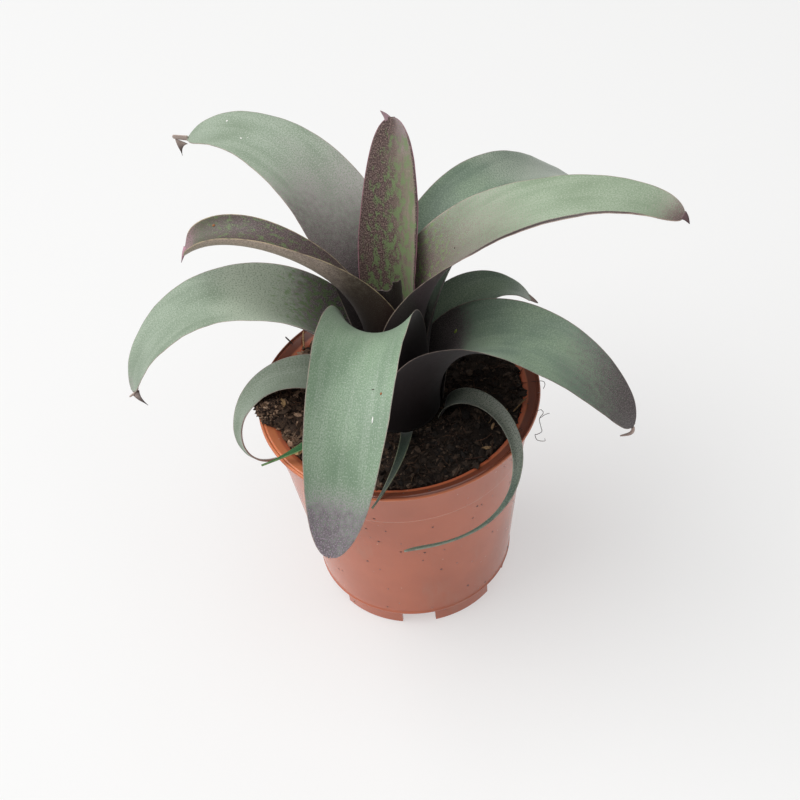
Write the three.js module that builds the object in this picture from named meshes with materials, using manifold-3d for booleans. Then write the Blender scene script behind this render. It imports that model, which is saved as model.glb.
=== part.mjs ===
// A bromeliad with grey-green strap leaves, growing in a 12 cm terracotta-coloured plastic pot.
// Millimetres, +Z up. The origin is on the ground, in the middle of the model's box.
//
// Every leaf is one blade of constant thickness, bent along its midrib. Four stations, at the
// base, a third, two thirds and the end of the blade, give its rise (the angle of the midrib
// above level), its turn (the compass direction it heads in), its twist about the midrib and
// its half width. A cubic runs through the four. The section is an arc: at the base it lies on
// the circle of the sheath round the stem, further out it is a shallow channel.

import * as THREE from 'three';
import { mergeVertices } from 'three/addons/utils/BufferGeometryUtils.js';
import Module from 'manifold-3d';

const wasm = await Module();
wasm.setup();

// Pot
const POT_HEIGHT = 106.5;
const LIP_RADIUS = 60;
const BAND_RADIUS = 52.2;          // inner edge of the sloping band inside the lip
const BAND_DROP = 3;
const LIP_DEPTH = 2.2;             // the lip is a thin rolled edge that overhangs the wall
const WALL_TOP_RADIUS = 56.3;
const LINE_DEPTH = 22;             // a fine raised line runs round the wall here
const LINE_RADIUS = 53.5;
const LINE_STEP = 0.4;
const INNER_DEPTH = 24;            // below this the inside of the wall runs straight to the floor
const INNER_RADIUS = 52;
const FOOT_RADIUS = 41.4;
const FOOT_HEIGHT = 8.2;
const FOOT_WALL = 1.6;
const FOOT_COUNT = 6;
const FOOT_GAP_WIDTH = 15;
const FOOT_GAP_ANGLE = -93.5;      // direction of the gap that faces the front, in degrees
const FLOOR_UNDER = 7.2;
const FLOOR_TOP = 9;
const DRAIN_RADIUS = 3.5;
const DRAIN_CIRCLE = 32;
const POT_SIDES = 48;

// Soil
const CLEARANCE = 0.3;
const SOIL_LEVEL = POT_HEIGHT - 2.6;
const DISH_LEVEL = POT_HEIGHT - 6.9;     // the soil dips under the leaf bases
const DISH_RADIUS = 22;
const HEAP_ANGLE = 183;                  // soil is heaped over the lip here
const HEAP_HALF_ANGLE = 13;
const HEAP_HEIGHT = 5.5;
const HEAP_RADIUS = 61.2;
const LIP_SPACE_DEPTH = 12;              // no soil is left in the lip down to this depth
const SOIL_SIDES = 48;

// Stem and leaves
const STEM_RADIUS = 4.4;
const STEM_FOOT = POT_HEIGHT - 34;
const STEM_TOP = POT_HEIGHT + 22;
const LEAF_BASE = POT_HEIGHT - 6.5;
const LEAF_THICKNESS = 0.7;
const HOOK_HALF_WIDTH = 1.5;
const HOOK_POINT_HALF_WIDTH = 0.45;
const LEAF_ROWS = 15;
const LEAF_COLUMNS = 8;
const THIN_LEAF_COLUMNS = 4;
const THIN_LEAF_HALF_WIDTH = 4;
const HOOK_ROWS = 3;
const ROW_CROWDING = 1.5;          // rows stand closer together towards the tip

const green = { color: 0x7d9480, roughness: 0.55, metalness: 0 };
const darkGreen = { color: 0x4f6558, roughness: 0.5, metalness: 0 };
const maroon = { color: 0x5a4247, roughness: 0.5, metalness: 0 };

// The leaves, from the innermost to the outermost. Lengths are in millimetres and angles in degrees.
const LEAVES = {
  leaf_torn: {
    sheath: 5.7, length: 74, blunt: 13, look: maroon, hook: null,
    turn: [-75, -75, -75, -75], rise: [90, 90, 89, 88], twist: [0, 0, 0],
    half: [11, 11, 11, 10.5], channel: [110, 110, 105],
  },
  leaf_upright: {
    sheath: 8, length: 125, blunt: 11, look: maroon, hook: { length: 6, drop: 10, swing: 60 },
    turn: [81, 77, 73, 84], rise: [87, 82, 66, 60], twist: [-1, -4, -4],
    half: [12.5, 15, 13, 9.5], channel: [89, 34, 32],
  },
  leaf_mid_left: {
    sheath: 9.3, length: 146, blunt: 14, look: maroon, hook: { length: 6, drop: -40, swing: 0 },
    turn: [199, 187, 162, 157], rise: [89, 79, 26, -40], twist: [29, 28, -25],
    half: [18.5, 16.5, 14, 11.5], channel: [88, 59, 105],
  },
  leaf_right: {
    sheath: 10.6, length: 184, blunt: 11, look: green, hook: { length: 4, drop: -60, swing: 0 },
    turn: [2, -11, -10, -24], rise: [90, 71, 24, -25], twist: [2, 6, 9],
    half: [20, 22.5, 13.5, 11.5], channel: [84, 6, 51],
  },
  leaf_back_left: {
    sheath: 11.9, length: 168, blunt: 7.5, look: green, hook: { length: 15, drop: -130, swing: 0 },
    turn: [113, 119, 135, 160], rise: [84, 68, 25, -36], twist: [-1, -4, -12],
    half: [21, 20.5, 16.5, 11.5], channel: [67, 7, 26],
  },
  leaf_back_right: {
    sheath: 13.2, length: 180, blunt: 8, look: darkGreen, hook: { length: 10, drop: -110, swing: 0 },
    turn: [56, 43, 37, 29], rise: [86, 47, -20, -47], twist: [-1, -4, -12],
    half: [20.5, 19, 16.5, 12], channel: [64, 29, 20],
  },
  leaf_front: {
    sheath: 14.5, length: 176, blunt: 7, look: green, hook: null,
    turn: [-107, -105, -105, -118], rise: [90, 60, -23, -45], twist: [2, -9, -16],
    half: [22, 21, 17.5, 15], channel: [68, 39, 18],
  },
  leaf_low_left: {
    sheath: 15.8, length: 155, blunt: 8, look: green, hook: { length: 14, drop: -120, swing: 0 },
    turn: [173, 176, 183, 202], rise: [85, 51, -17, -74], twist: [0, -3, -4],
    half: [23.5, 20, 15.5, 10], channel: [57, 16, 24],
  },
  leaf_low_right: {
    sheath: 17.1, length: 134, blunt: 7.5, look: green, hook: { length: 9, drop: -110, swing: 0 },
    turn: [-31, -32, -37, -27], rise: [90, 48, -5, -67], twist: [-4, -4, 10],
    half: [27, 23.5, 17, 11.5], channel: [72, 26, 26],
  },
  leaf_small_right: {
    sheath: 18.4, length: 82, blunt: 7.5, look: darkGreen, hook: { length: 7, drop: -60, swing: 0 },
    turn: [30, 31, 24, 12], rise: [88, 61, -5, -56], twist: [7, 9, 6],
    half: [11, 14, 9.5, 7.5], channel: [43, 30, 28],
  },
  leaf_curl_left: {
    sheath: 18.6, length: 110, blunt: 7.5, look: darkGreen, hook: null,
    turn: [170, 180, 205, 224], rise: [75, -12, -82, -155], twist: [-4, -4, -19],
    half: [11.5, 9, 4, 2], channel: [32, 37, 26],
  },
  leaf_thin_left: {
    sheath: 18.6, length: 54, blunt: 7.5, look: darkGreen, hook: null,
    turn: [-139, -148, -155, -167], rise: [51, 15, -2, -5], twist: [2, 2, 8],
    half: [3.5, 4, 2, 0.5], channel: [35, 31, 25],
  },
  leaf_thin_front: {
    sheath: 18.6, length: 53, blunt: 8, look: darkGreen, hook: null,
    turn: [-86, -101, -118, -147], rise: [52, 19, -9, -35], twist: [1, 2, -2],
    half: [2.5, 2.5, 1.5, 0.6], channel: [51, 43, 41],
  },
  leaf_curl_right: {
    sheath: 19.6, length: 126, blunt: 8, look: darkGreen, hook: null,
    turn: [-23, -71, -145, -212], rise: [70, -12, -14, -40], twist: [7, 5, -2],
    half: [6, 3.5, 1, 2], channel: [60, 20, 29],
  },
};

const radians = THREE.MathUtils.degToRad;

// Closed solids

function solidFrom(geometry) {
  const bare = geometry.index ? geometry.clone() : mergeVertices(geometry);
  bare.deleteAttribute('normal');
  bare.deleteAttribute('uv');
  const merged = mergeVertices(bare, 1e-4);
  return new wasm.Manifold(new wasm.Mesh({
    numProp: 3,
    vertProperties: new Float32Array(merged.attributes.position.array),
    triVerts: new Uint32Array(merged.index.array),
  }));
}

function geometryFrom(solid) {
  const mesh = solid.getMesh();
  const geometry = new THREE.BufferGeometry();
  geometry.setAttribute('position', new THREE.BufferAttribute(mesh.vertProperties, 3));
  geometry.setIndex(new THREE.BufferAttribute(mesh.triVerts, 1));
  return geometry;
}

function lathe(profile, sides) {
  const points = profile.map(([radius, height]) => new THREE.Vector2(radius, height));
  return new THREE.LatheGeometry(points, sides).rotateX(Math.PI / 2);
}

// Pot: a turned body with gaps cut in its foot ring and drain holes cut in its floor

function potGeometry() {
  const top = POT_HEIGHT;
  const body = solidFrom(lathe([
    [0, FLOOR_UNDER], [FOOT_RADIUS - FOOT_WALL, FLOOR_UNDER], [FOOT_RADIUS - FOOT_WALL, 0],
    [FOOT_RADIUS, 0], [FOOT_RADIUS + 0.3, FOOT_HEIGHT],
    [FOOT_RADIUS + 2.1, FOOT_HEIGHT + 0.4], [FOOT_RADIUS + 2.4, FOOT_HEIGHT + 1.2],
    [FOOT_RADIUS + 2, FOOT_HEIGHT + 2.2],
    [LINE_RADIUS - LINE_STEP, top - LINE_DEPTH - 0.6], [LINE_RADIUS, top - LINE_DEPTH],
    [WALL_TOP_RADIUS, top - LIP_DEPTH], [LIP_RADIUS - 0.4, top - LIP_DEPTH + 0.3],
    [LIP_RADIUS, top - 1], [LIP_RADIUS - 0.4, top - 0.1], [LIP_RADIUS - 1, top],
    [LIP_RADIUS - 1.5, top - 0.8], [LIP_RADIUS - 2.1, top - 0.3],
    [BAND_RADIUS, top - BAND_DROP], [INNER_RADIUS, top - INNER_DEPTH],
    [FOOT_RADIUS + 0.6, FLOOR_TOP], [0, FLOOR_TOP],
  ], POT_SIDES));
  const step = (2 * Math.PI) / FOOT_COUNT;
  const cutters = [];
  for (let foot = 0; foot < FOOT_COUNT; foot += 1) {
    const angle = radians(FOOT_GAP_ANGLE) + foot * step;
    const gap = new THREE.BoxGeometry(4 * FOOT_WALL, FOOT_GAP_WIDTH, 2 * (FLOOR_UNDER - CLEARANCE));
    gap.translate(FOOT_RADIUS - FOOT_WALL / 2, 0, 0).rotateZ(angle);
    const drain = new THREE.CylinderGeometry(DRAIN_RADIUS, DRAIN_RADIUS, FLOOR_TOP, 8);
    drain.rotateX(Math.PI / 2).translate(DRAIN_CIRCLE, 0, FLOOR_TOP).rotateZ(angle);
    cutters.push(solidFrom(gap), solidFrom(drain));
  }
  return geometryFrom(cutters.reduce((pot, cutter) => pot.subtract(cutter), body));
}

// Soil: fills the pot, dips under the leaf bases and is heaped over the lip at one place

function heapAt(angle) {
  const away = Math.abs(((angle - HEAP_ANGLE + 540) % 360) - 180);
  return away < HEAP_HALF_ANGLE ? Math.cos((Math.PI / 2) * (away / HEAP_HALF_ANGLE)) : 0;
}

function crumble(radius, angle) {
  const x = radius * Math.cos(angle);
  const y = radius * Math.sin(angle);
  return 0.5 * Math.sin(0.41 * x + 1.3) * Math.cos(0.37 * y) + 0.35 * Math.sin(0.9 * x - 0.7 * y);
}

function soilGeometry() {
  const rim = BAND_RADIUS - CLEARANCE;
  const out = HEAP_RADIUS - rim;
  // Each ring: radius, height, how far the heap pushes it out and up, and how rough it is
  const rings = [
    [0, FLOOR_TOP + CLEARANCE, 0, 0, 0],
    [FOOT_RADIUS + 0.6 - CLEARANCE, FLOOR_TOP + CLEARANCE, 0, 0, 0],
    [INNER_RADIUS - CLEARANCE, POT_HEIGHT - INNER_DEPTH, 0, 0, 0],
    [rim - 0.1, POT_HEIGHT - BAND_DROP - 1, 0, 0, 0],
    [rim, SOIL_LEVEL, out, 3.2, 0],
    [rim - 1, SOIL_LEVEL + 0.2, out - 1, HEAP_HEIGHT, 0.3],
    [48, SOIL_LEVEL, 0, 0.8 * HEAP_HEIGHT, 1],
    [42, SOIL_LEVEL, 0, 0.3 * HEAP_HEIGHT, 1],
    [36, SOIL_LEVEL, 0, 0, 1],
    [30, SOIL_LEVEL - 1, 0, 0, 0.6],
    [DISH_RADIUS + 3, DISH_LEVEL + 1.5, 0, 0, 0],
    [DISH_RADIUS, DISH_LEVEL, 0, 0, 0],
    [0, DISH_LEVEL, 0, 0, 0],
  ];
  const geometry = lathe(rings, SOIL_SIDES);
  const position = geometry.attributes.position;
  for (let i = 0; i < position.count; i += 1) {
    const [radius, height, push, lift, rough] = rings[i % rings.length];
    const angle = Math.atan2(position.getY(i), position.getX(i));
    const heap = heapAt(THREE.MathUtils.radToDeg(angle));
    const reach = radius + push * heap;
    const rise = height + lift * heap + rough * crumble(reach, angle);
    position.setXYZ(i, reach * Math.cos(angle), reach * Math.sin(angle), rise);
  }
  const lipSpace = solidFrom(lathe([
    [rim, POT_HEIGHT - BAND_DROP], [rim, POT_HEIGHT - LIP_SPACE_DEPTH],
    [LIP_RADIUS + 3, POT_HEIGHT - LIP_SPACE_DEPTH], [LIP_RADIUS + 3, POT_HEIGHT + CLEARANCE],
    [LIP_RADIUS - 1, POT_HEIGHT + CLEARANCE], [LIP_RADIUS - 2.6, POT_HEIGHT - CLEARANCE],
    [rim, POT_HEIGHT - BAND_DROP],
  ], POT_SIDES));
  const stemHole = new THREE.CylinderGeometry(STEM_RADIUS + CLEARANCE, STEM_RADIUS + CLEARANCE, 40, 12);
  stemHole.rotateX(Math.PI / 2).translate(0, 0, STEM_FOOT - CLEARANCE + 20);
  return geometryFrom(solidFrom(geometry).subtract(lipSpace).subtract(solidFrom(stemHole)));
}

function stemGeometry() {
  const stem = new THREE.CylinderGeometry(STEM_RADIUS - 0.6, STEM_RADIUS, STEM_TOP - STEM_FOOT, 12);
  return stem.rotateX(Math.PI / 2).translate(0, 0, (STEM_TOP + STEM_FOOT) / 2);
}

// Leaves

// The cubic through four values that stand at 0, 1/3, 2/3 and 1.
function cubicThrough(values, t) {
  return values.reduce((sum, value, i) => {
    const weight = values.reduce((w, _, j) => (i === j ? w : (w * (3 * t - j)) / (i - j)), 1);
    return sum + value * weight;
  }, 0);
}

function heading(rise, turn) {
  const [up, round] = [radians(rise), radians(turn)];
  return new THREE.Vector3(Math.cos(up) * Math.cos(round), Math.cos(up) * Math.sin(round), Math.sin(up));
}

// The blade's frame and section at one place on the midrib: its normal is on the upper face.
function section(design, centre, t, rise, turn, twist, halfWidth) {
  const along = heading(rise, turn);
  const level = new THREE.Vector3(-Math.sin(radians(turn)), Math.cos(radians(turn)), 0);
  const side = level.clone().applyAxisAngle(along, radians(twist));
  const normal = along.clone().cross(side);
  const fullHalf = cubicThrough(design.half, t);
  const wrap = THREE.MathUtils.radToDeg(design.half[0] / design.sheath);
  const radius = fullHalf / radians(cubicThrough([wrap, ...design.channel], t));
  return { centre, side, normal, radius, halfWidth };
}

function leafSections(design) {
  const sections = [];
  const foot = radians(design.turn[0]);
  const centre = new THREE.Vector3(
    design.sheath * Math.cos(foot), design.sheath * Math.sin(foot), LEAF_BASE);
  const twists = [0, ...design.twist];
  const least = design.hook ? HOOK_HALF_WIDTH : HOOK_POINT_HALF_WIDTH;
  const substeps = 4;
  let before = 0;
  for (let row = 0; row <= LEAF_ROWS; row += 1) {
    const t = 1 - (1 - row / LEAF_ROWS) ** ROW_CROWDING;
    for (let step = 0; step < substeps && row > 0; step += 1) {
      const middle = before + ((step + 0.5) / substeps) * (t - before);
      const direction = heading(cubicThrough(design.rise, middle), cubicThrough(design.turn, middle));
      centre.addScaledVector(direction, (design.length * (t - before)) / substeps);
    }
    const halfWidth = cubicThrough(design.half, t) * Math.sqrt(Math.max(1 - t ** design.blunt, 0));
    sections.push(section(design, centre.clone(), t, cubicThrough(design.rise, t),
      cubicThrough(design.turn, t), cubicThrough(twists, t), Math.max(halfWidth, least)));
    before = t;
  }
  for (let row = 1; design.hook && row <= HOOK_ROWS; row += 1) {
    const s = row / HOOK_ROWS;
    const rise = design.rise[3] + design.hook.drop * s;
    const turn = design.turn[3] + design.hook.swing * s;
    centre.addScaledVector(heading(rise, turn), design.hook.length / HOOK_ROWS);
    sections.push(section(design, centre.clone(), 1, rise, turn, twists[3],
      THREE.MathUtils.lerp(HOOK_HALF_WIDTH, HOOK_POINT_HALF_WIDTH, s)));
  }
  return sections;
}

// Both faces of a blade are split along the same diagonals, so they never cross.
function leafGeometry(design) {
  const sections = leafSections(design);
  const columns = Math.max(...design.half) < THIN_LEAF_HALF_WIDTH ? THIN_LEAF_COLUMNS : LEAF_COLUMNS;
  const face = (offset) => sections.map(({ centre, side, normal, radius, halfWidth }) => {
    const points = [];
    for (let column = 0; column <= columns; column += 1) {
      const angle = ((2 * column) / columns - 1) * (halfWidth / radius);
      points.push(centre.clone().addScaledVector(side, (radius - offset) * Math.sin(angle))
        .addScaledVector(normal, radius - (radius - offset) * Math.cos(angle)));
    }
    return points;
  });
  const upper = face(LEAF_THICKNESS / 2);
  const lower = face(-LEAF_THICKNESS / 2);
  const triangles = [];
  const quad = (a, b, c, d) => triangles.push(a, b, c, a, c, d);
  const last = sections.length - 1;
  for (let row = 0; row < last; row += 1) {
    const [u0, u1, l0, l1] = [upper[row], upper[row + 1], lower[row], lower[row + 1]];
    for (let c = 0; c < columns; c += 1) {
      triangles.push(u0[c], u1[c + 1], u0[c + 1], u0[c], u1[c], u1[c + 1]);
      triangles.push(l0[c], l0[c + 1], l1[c + 1], l0[c], l1[c + 1], l1[c]);
    }
    quad(u1[0], u0[0], l0[0], l1[0]);
    quad(u0[columns], u1[columns], l1[columns], l0[columns]);
  }
  for (let c = 0; c < columns; c += 1) {
    quad(upper[0][c], upper[0][c + 1], lower[0][c + 1], lower[0][c]);
    quad(upper[last][c + 1], upper[last][c], lower[last][c], lower[last][c + 1]);
  }
  const geometry = new THREE.BufferGeometry().setFromPoints(triangles);
  return mergeVertices(geometry, 1e-4);
}

// Assembly

function mesh(name, geometry, look) {
  const piece = new THREE.Mesh(geometry, new THREE.MeshStandardMaterial(look));
  piece.name = name;
  return piece;
}

const plant = new THREE.Group();
plant.add(mesh('pot', potGeometry(), { color: 0xb8613c, roughness: 0.4, metalness: 0 }));
plant.add(mesh('soil', soilGeometry(), { color: 0x2a201b, roughness: 1, metalness: 0 }));
plant.add(mesh('stem', stemGeometry(), { color: 0x6b5a42, roughness: 0.9, metalness: 0 }));
Object.entries(LEAVES).forEach(([name, design]) => plant.add(mesh(name, leafGeometry(design), design.look)));

const middle = new THREE.Box3().setFromObject(plant).getCenter(new THREE.Vector3());
plant.position.set(-middle.x, -middle.y, 0);

const part = new THREE.Group();
part.add(plant);

export default part;
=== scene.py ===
# %% [markdown]
# # A bromeliad in a nursery pot
#
# The real object is a young bromeliad: a rosette of stiff, leathery strap leaves that grow from one
# short stem. It stands in a turned plastic pot filled with peat. The solid model gives the true sizes.
# This lesson makes the surfaces that the eye sees: each leaf with its thin pale margin and hooked
# point, the crumbs of the soil, and the softly glossy plastic.
#
# Sizes are written in millimetres, measured from the foot of the pot's axis. One helper turns them
# into metres in the shared frame.

# %% Load the frame
import math

import bpy
import numpy as np
from mathutils import Matrix, Vector


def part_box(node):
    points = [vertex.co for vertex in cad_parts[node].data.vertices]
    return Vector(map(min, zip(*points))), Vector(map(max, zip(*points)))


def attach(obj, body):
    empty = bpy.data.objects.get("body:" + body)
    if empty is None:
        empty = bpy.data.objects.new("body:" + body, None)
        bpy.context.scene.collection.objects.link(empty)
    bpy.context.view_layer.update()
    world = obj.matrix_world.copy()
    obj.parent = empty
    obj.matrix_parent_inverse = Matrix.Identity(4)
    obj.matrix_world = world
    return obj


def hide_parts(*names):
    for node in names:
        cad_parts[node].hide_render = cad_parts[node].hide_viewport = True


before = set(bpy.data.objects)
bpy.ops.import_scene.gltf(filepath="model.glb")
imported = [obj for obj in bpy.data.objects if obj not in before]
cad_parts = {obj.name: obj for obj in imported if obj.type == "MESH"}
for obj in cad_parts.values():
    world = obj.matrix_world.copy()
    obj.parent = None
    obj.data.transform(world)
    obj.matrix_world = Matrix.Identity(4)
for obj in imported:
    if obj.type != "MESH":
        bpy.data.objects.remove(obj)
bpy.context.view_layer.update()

MM = 0.001
pot_low, pot_high = (np.array(corner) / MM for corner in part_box("pot"))
POT_AXIS = np.array([*(pot_low + pot_high)[:2] / 2, 0.0])
TOP = pot_high[2]
LIP = (pot_high[0] - pot_low[0]) / 2
print("pot axis at", POT_AXIS.round(2), "height", round(TOP, 2), "lip radius", round(LIP, 2))

# %% [markdown]
# ## The camera
#
# The photo looks down at the pot at about 46 degrees, from two thirds of a metre away, and is turned
# a few degrees, so the pot seems to lean. A camera could be aimed with a constraint. Here its place
# and angles are worked out once from the pot's own ellipses, and written down as plain numbers.

# %% Camera
CAMERA_PLACE = (0.2, -491.7, 604.8)
CAMERA_DOWN = 45.67
CAMERA_ROLL = -6.61
CAMERA_LENS = 74.44


def place_camera():
    """The camera starts looking straight down, tips up to its angle and rolls about its own axis."""
    camera = bpy.data.objects.new("camera", bpy.data.cameras.new("camera"))
    bpy.context.scene.collection.objects.link(camera)
    tip = Matrix.Rotation(math.radians(90 - CAMERA_DOWN), 4, "X")
    roll = Matrix.Rotation(math.radians(CAMERA_ROLL), 4, "Z")
    place = Matrix.Translation(Vector((POT_AXIS + CAMERA_PLACE) * MM))
    camera.matrix_world = place @ tip @ roll
    camera.data.lens = CAMERA_LENS
    camera.data.clip_start = 0.01
    bpy.context.scene.camera = camera
    return camera


camera = place_camera()
print("camera at", [round(v, 3) for v in camera.matrix_world.translation])

# %% [markdown]
# ## Light and floor
#
# The photo was taken beside a large window at the left, in a white room: the left sides are bright,
# the heart of the plant is nearly black, and no shadow has a hard edge. A large square lamp stands for
# the window, a second one above for the ceiling, and a weak white sky fills the shadows. The photo's
# backdrop is far behind the plant and takes no shadow. A floor can't be far away, so it is a light
# table: half of its white comes from its own glow, which also lights the leaves softly from below.

# %% Light and floor
FLOOR_RADIUS = 9.0
FLOOR_SIDES = 64
FLOOR_DROP = 0.0002
FLOOR_COLOUR = (0.4, 0.4, 0.396, 1)
FLOOR_GLOW = 0.49
WINDOW_FROM = Vector((-1.5, 0.0, 2.1))
WINDOW_WATTS = 72
CEILING_FROM = Vector((0.2, -0.4, 2.6))
CEILING_WATTS = 36
LAMP_SIZE = 3.0
SKY_STRENGTH = 0.12


def hang_lamp(name, place, watts):
    """A square lamp aimed at the plant."""
    lamp = bpy.data.objects.new(name, bpy.data.lights.new(name, "AREA"))
    bpy.context.scene.collection.objects.link(lamp)
    lamp.location = place
    lamp.rotation_euler = (-place).to_track_quat("-Z", "Y").to_euler()
    lamp.data.size = LAMP_SIZE
    lamp.data.energy = watts


def light_the_set():
    """The two lamps, and a sky of one brightness."""
    hang_lamp("window_light", WINDOW_FROM, WINDOW_WATTS)
    hang_lamp("ceiling_light", CEILING_FROM, CEILING_WATTS)
    world = bpy.data.worlds.new("studio")
    world.use_nodes = True
    world.node_tree.nodes["Background"].inputs["Color"].default_value = (1, 1, 1, 1)
    world.node_tree.nodes["Background"].inputs["Strength"].default_value = SKY_STRENGTH
    bpy.context.scene.world = world
    bpy.context.scene.view_settings.view_transform = "Standard"


def lay_floor():
    """A flat disc just under the pot's feet, which glows a little."""
    angle = np.linspace(0, 2 * np.pi, FLOOR_SIDES, endpoint=False)
    rim = np.stack([FLOOR_RADIUS * np.cos(angle), FLOOR_RADIUS * np.sin(angle), 0 * angle - FLOOR_DROP], -1)
    mesh = bpy.data.meshes.new("floor")
    mesh.from_pydata(rim.tolist(), [], [list(range(FLOOR_SIDES))])
    floor = bpy.data.objects.new("floor", mesh)
    bpy.context.scene.collection.objects.link(floor)
    paper = bpy.data.materials.new("floor_paper")
    paper.use_nodes = True
    skin = paper.node_tree.nodes["Principled BSDF"]
    skin.inputs["Base Color"].default_value = FLOOR_COLOUR
    skin.inputs["Roughness"].default_value = 0.9
    skin.inputs["Emission Color"].default_value = (1, 1, 1, 1)
    skin.inputs["Emission Strength"].default_value = FLOOR_GLOW
    mesh.materials.append(paper)


light_the_set()
lay_floor()
print("lamps", WINDOW_WATTS, "and", CEILING_WATTS, "W, sky", SKY_STRENGTH, "floor glow", FLOOR_GLOW)

# %% [markdown]
# ## Building materials from small words
#
# Every finish here is a stack of noises: broad clouds, blotches, streaks and grains, each mixed into
# the colour under it. Wiring them one by one takes many lines, so a small class gives each node one
# short word. Each word returns an output socket, which the next word takes.

# %% Words for finishes
class Finish:
    """One material, built from its Principled shader backwards."""

    def __init__(self, name):
        self.material = bpy.data.materials.new(name)
        self.material.use_nodes = True
        self.nodes = self.material.node_tree.nodes
        self.links = self.material.node_tree.links
        self.skin = self.nodes["Principled BSDF"]

    def give(self, socket, value):
        """A socket takes another node's output, or a plain number or colour."""
        if isinstance(value, bpy.types.NodeSocket):
            self.links.new(value, socket)
        else:
            socket.default_value = value

    def node(self, kind, inputs):
        """A new node whose inputs are given, each by its name or number."""
        node = self.nodes.new("ShaderNode" + kind)
        for name, value in inputs.items():
            self.give(node.inputs[name], value)
        return node

    def set_skin(self, **inputs):
        """The shader's own inputs, with _ for a space in a name."""
        for name, value in inputs.items():
            self.give(self.skin.inputs[name.replace("_", " ")], value)

    def uv_map(self, name):
        """The mesh's own flat map."""
        node = self.node("UVMap", {})
        node.uv_map = name
        return node.outputs["UV"]

    def place(self):
        """A point's place in the shared frame, in metres."""
        return self.node("TexCoord", {}).outputs["Object"]

    def attribute(self, name):
        """A value stored at the mesh's points."""
        node = self.node("Attribute", {})
        node.attribute_name = name
        return node.outputs["Fac"]

    def scaled(self, vector, x, y, z=1.0):
        """A vector stretched along each axis."""
        return self.node("Mapping", {"Vector": vector, "Scale": (x, y, z)}).outputs["Vector"]

    def noise(self, vector, scale=1.0, detail=2.0, rough=0.5, warp=0.0):
        """Clouds or grain from 0 to 1, even about a half."""
        inputs = {"Vector": vector, "Scale": scale, "Detail": detail, "Roughness": rough, "Distortion": warp}
        return self.node("TexNoise", inputs).outputs["Fac"]

    def cells(self, vector, scale=1.0):
        """The distance to the nearest of many scattered points."""
        return self.node("TexVoronoi", {"Vector": vector, "Scale": scale}).outputs["Distance"]

    def step(self, value, low, high):
        """0 below low, 1 above high and a soft step between; turned round if low is the larger."""
        ends = (low, high, 0.0, 1.0) if low < high else (high, low, 1.0, 0.0)
        names = ("From Min", "From Max", "To Min", "To Max")
        node = self.node("MapRange", {"Value": value, **dict(zip(names, ends))})
        node.interpolation_type = "SMOOTHSTEP"
        return node.outputs["Result"]

    def maths(self, operation, a, b=0.0, c=0.0):
        """One operation on up to three numbers or outputs."""
        node = self.node("Math", {0: a, 1: b, 2: c})
        node.operation = operation
        return node.outputs[0]

    def plus(self, a, b):
        """a + b"""
        return self.maths("ADD", a, b)

    def times(self, a, b):
        """a * b"""
        return self.maths("MULTIPLY", a, b)

    def sway(self, noise, amount):
        """A noise moved to swing evenly about nought."""
        return self.maths("MULTIPLY_ADD", noise, amount, -0.5 * amount)

    def along(self, axis, place):
        """A place's coordinate along X, Y or Z."""
        return self.node("SeparateXYZ", {0: place}).outputs[axis]

    def radius(self, place):
        """The distance from the pot's axis."""
        shift = {"Vector": place, "Location": (*(-POT_AXIS[:2] * MM), 0), "Scale": (1, 1, 0)}
        node = self.node("VectorMath", {0: self.node("Mapping", shift).outputs["Vector"]})
        node.operation = "LENGTH"
        return node.outputs["Value"]

    def near(self, value, middle, reach):
        """1 where a value is at the middle, 0 where it is further off than the reach."""
        away = self.maths("ABSOLUTE", self.plus(value, -middle))
        return self.step(away, reach, 0.3 * reach)

    def mix(self, under, over, share):
        """One colour where the share is 0 and the other where it is 1."""
        node = self.nodes.new("ShaderNodeMix")
        node.data_type = "RGBA"
        self.give(node.inputs["Factor"], share)
        self.give(node.inputs[6], under)
        self.give(node.inputs[7], over)
        return node.outputs[2]

    def lay(self, under, over, mask, share):
        """A colour laid over another one, as far as the mask and the share say."""
        return self.mix(under, over, self.times(mask, share))

    def relief(self, height, depth_mm, after=None):
        """A bump of the given depth in millimetres, laid over another one."""
        below = {} if after is None else {"Normal": after}
        return self.node("Bump", {"Distance": depth_mm * MM, "Height": height, **below}).outputs["Normal"]


def paint(code):
    """A screen colour such as 8fa08c as the linear values that a shader takes."""
    part = np.array([int(code[i:i + 2], 16) for i in (0, 2, 4)]) / 255
    linear = np.where(part <= 0.04045, part / 12.92, ((part + 0.055) / 1.055) ** 2.4)
    return (*linear.tolist(), 1.0)


print("finish words ready")

# %% [markdown]
# ## From arrays to pieces
#
# A shape in this lesson is worked out as whole arrays of points. This cell holds what all of them
# share: the faces of a grid, and the step from arrays to a Blender object that rides on the plant's
# one body.

# %% Grids and pieces
def grid_faces(rows, columns, closed):
    """Quads between the neighbours of a rows by columns grid; closed joins the last column to the first."""
    index = np.arange(rows * columns).reshape(rows, columns)
    if closed:
        index = np.concatenate([index, index[:, :1]], 1)
    corners = [index[:-1, :-1], index[1:, :-1], index[1:, 1:], index[:-1, 1:]]
    return np.stack(corners, -1).reshape(-1, 4)


def tube_faces(rings, sides):
    """The quads round a tube of so many rings, and a face over either end."""
    quads = grid_faces(rings, sides, closed=True)[:, ::-1]
    ends = np.array([range(sides)[::-1], range((rings - 1) * sides, rings * sides)])
    return quads, ends


def copied(faces, each, count):
    """The faces of one shape of so many points, numbered on for each of its copies."""
    return (faces[None] + each * np.arange(count)[:, None, None]).reshape(-1, faces.shape[1])


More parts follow.
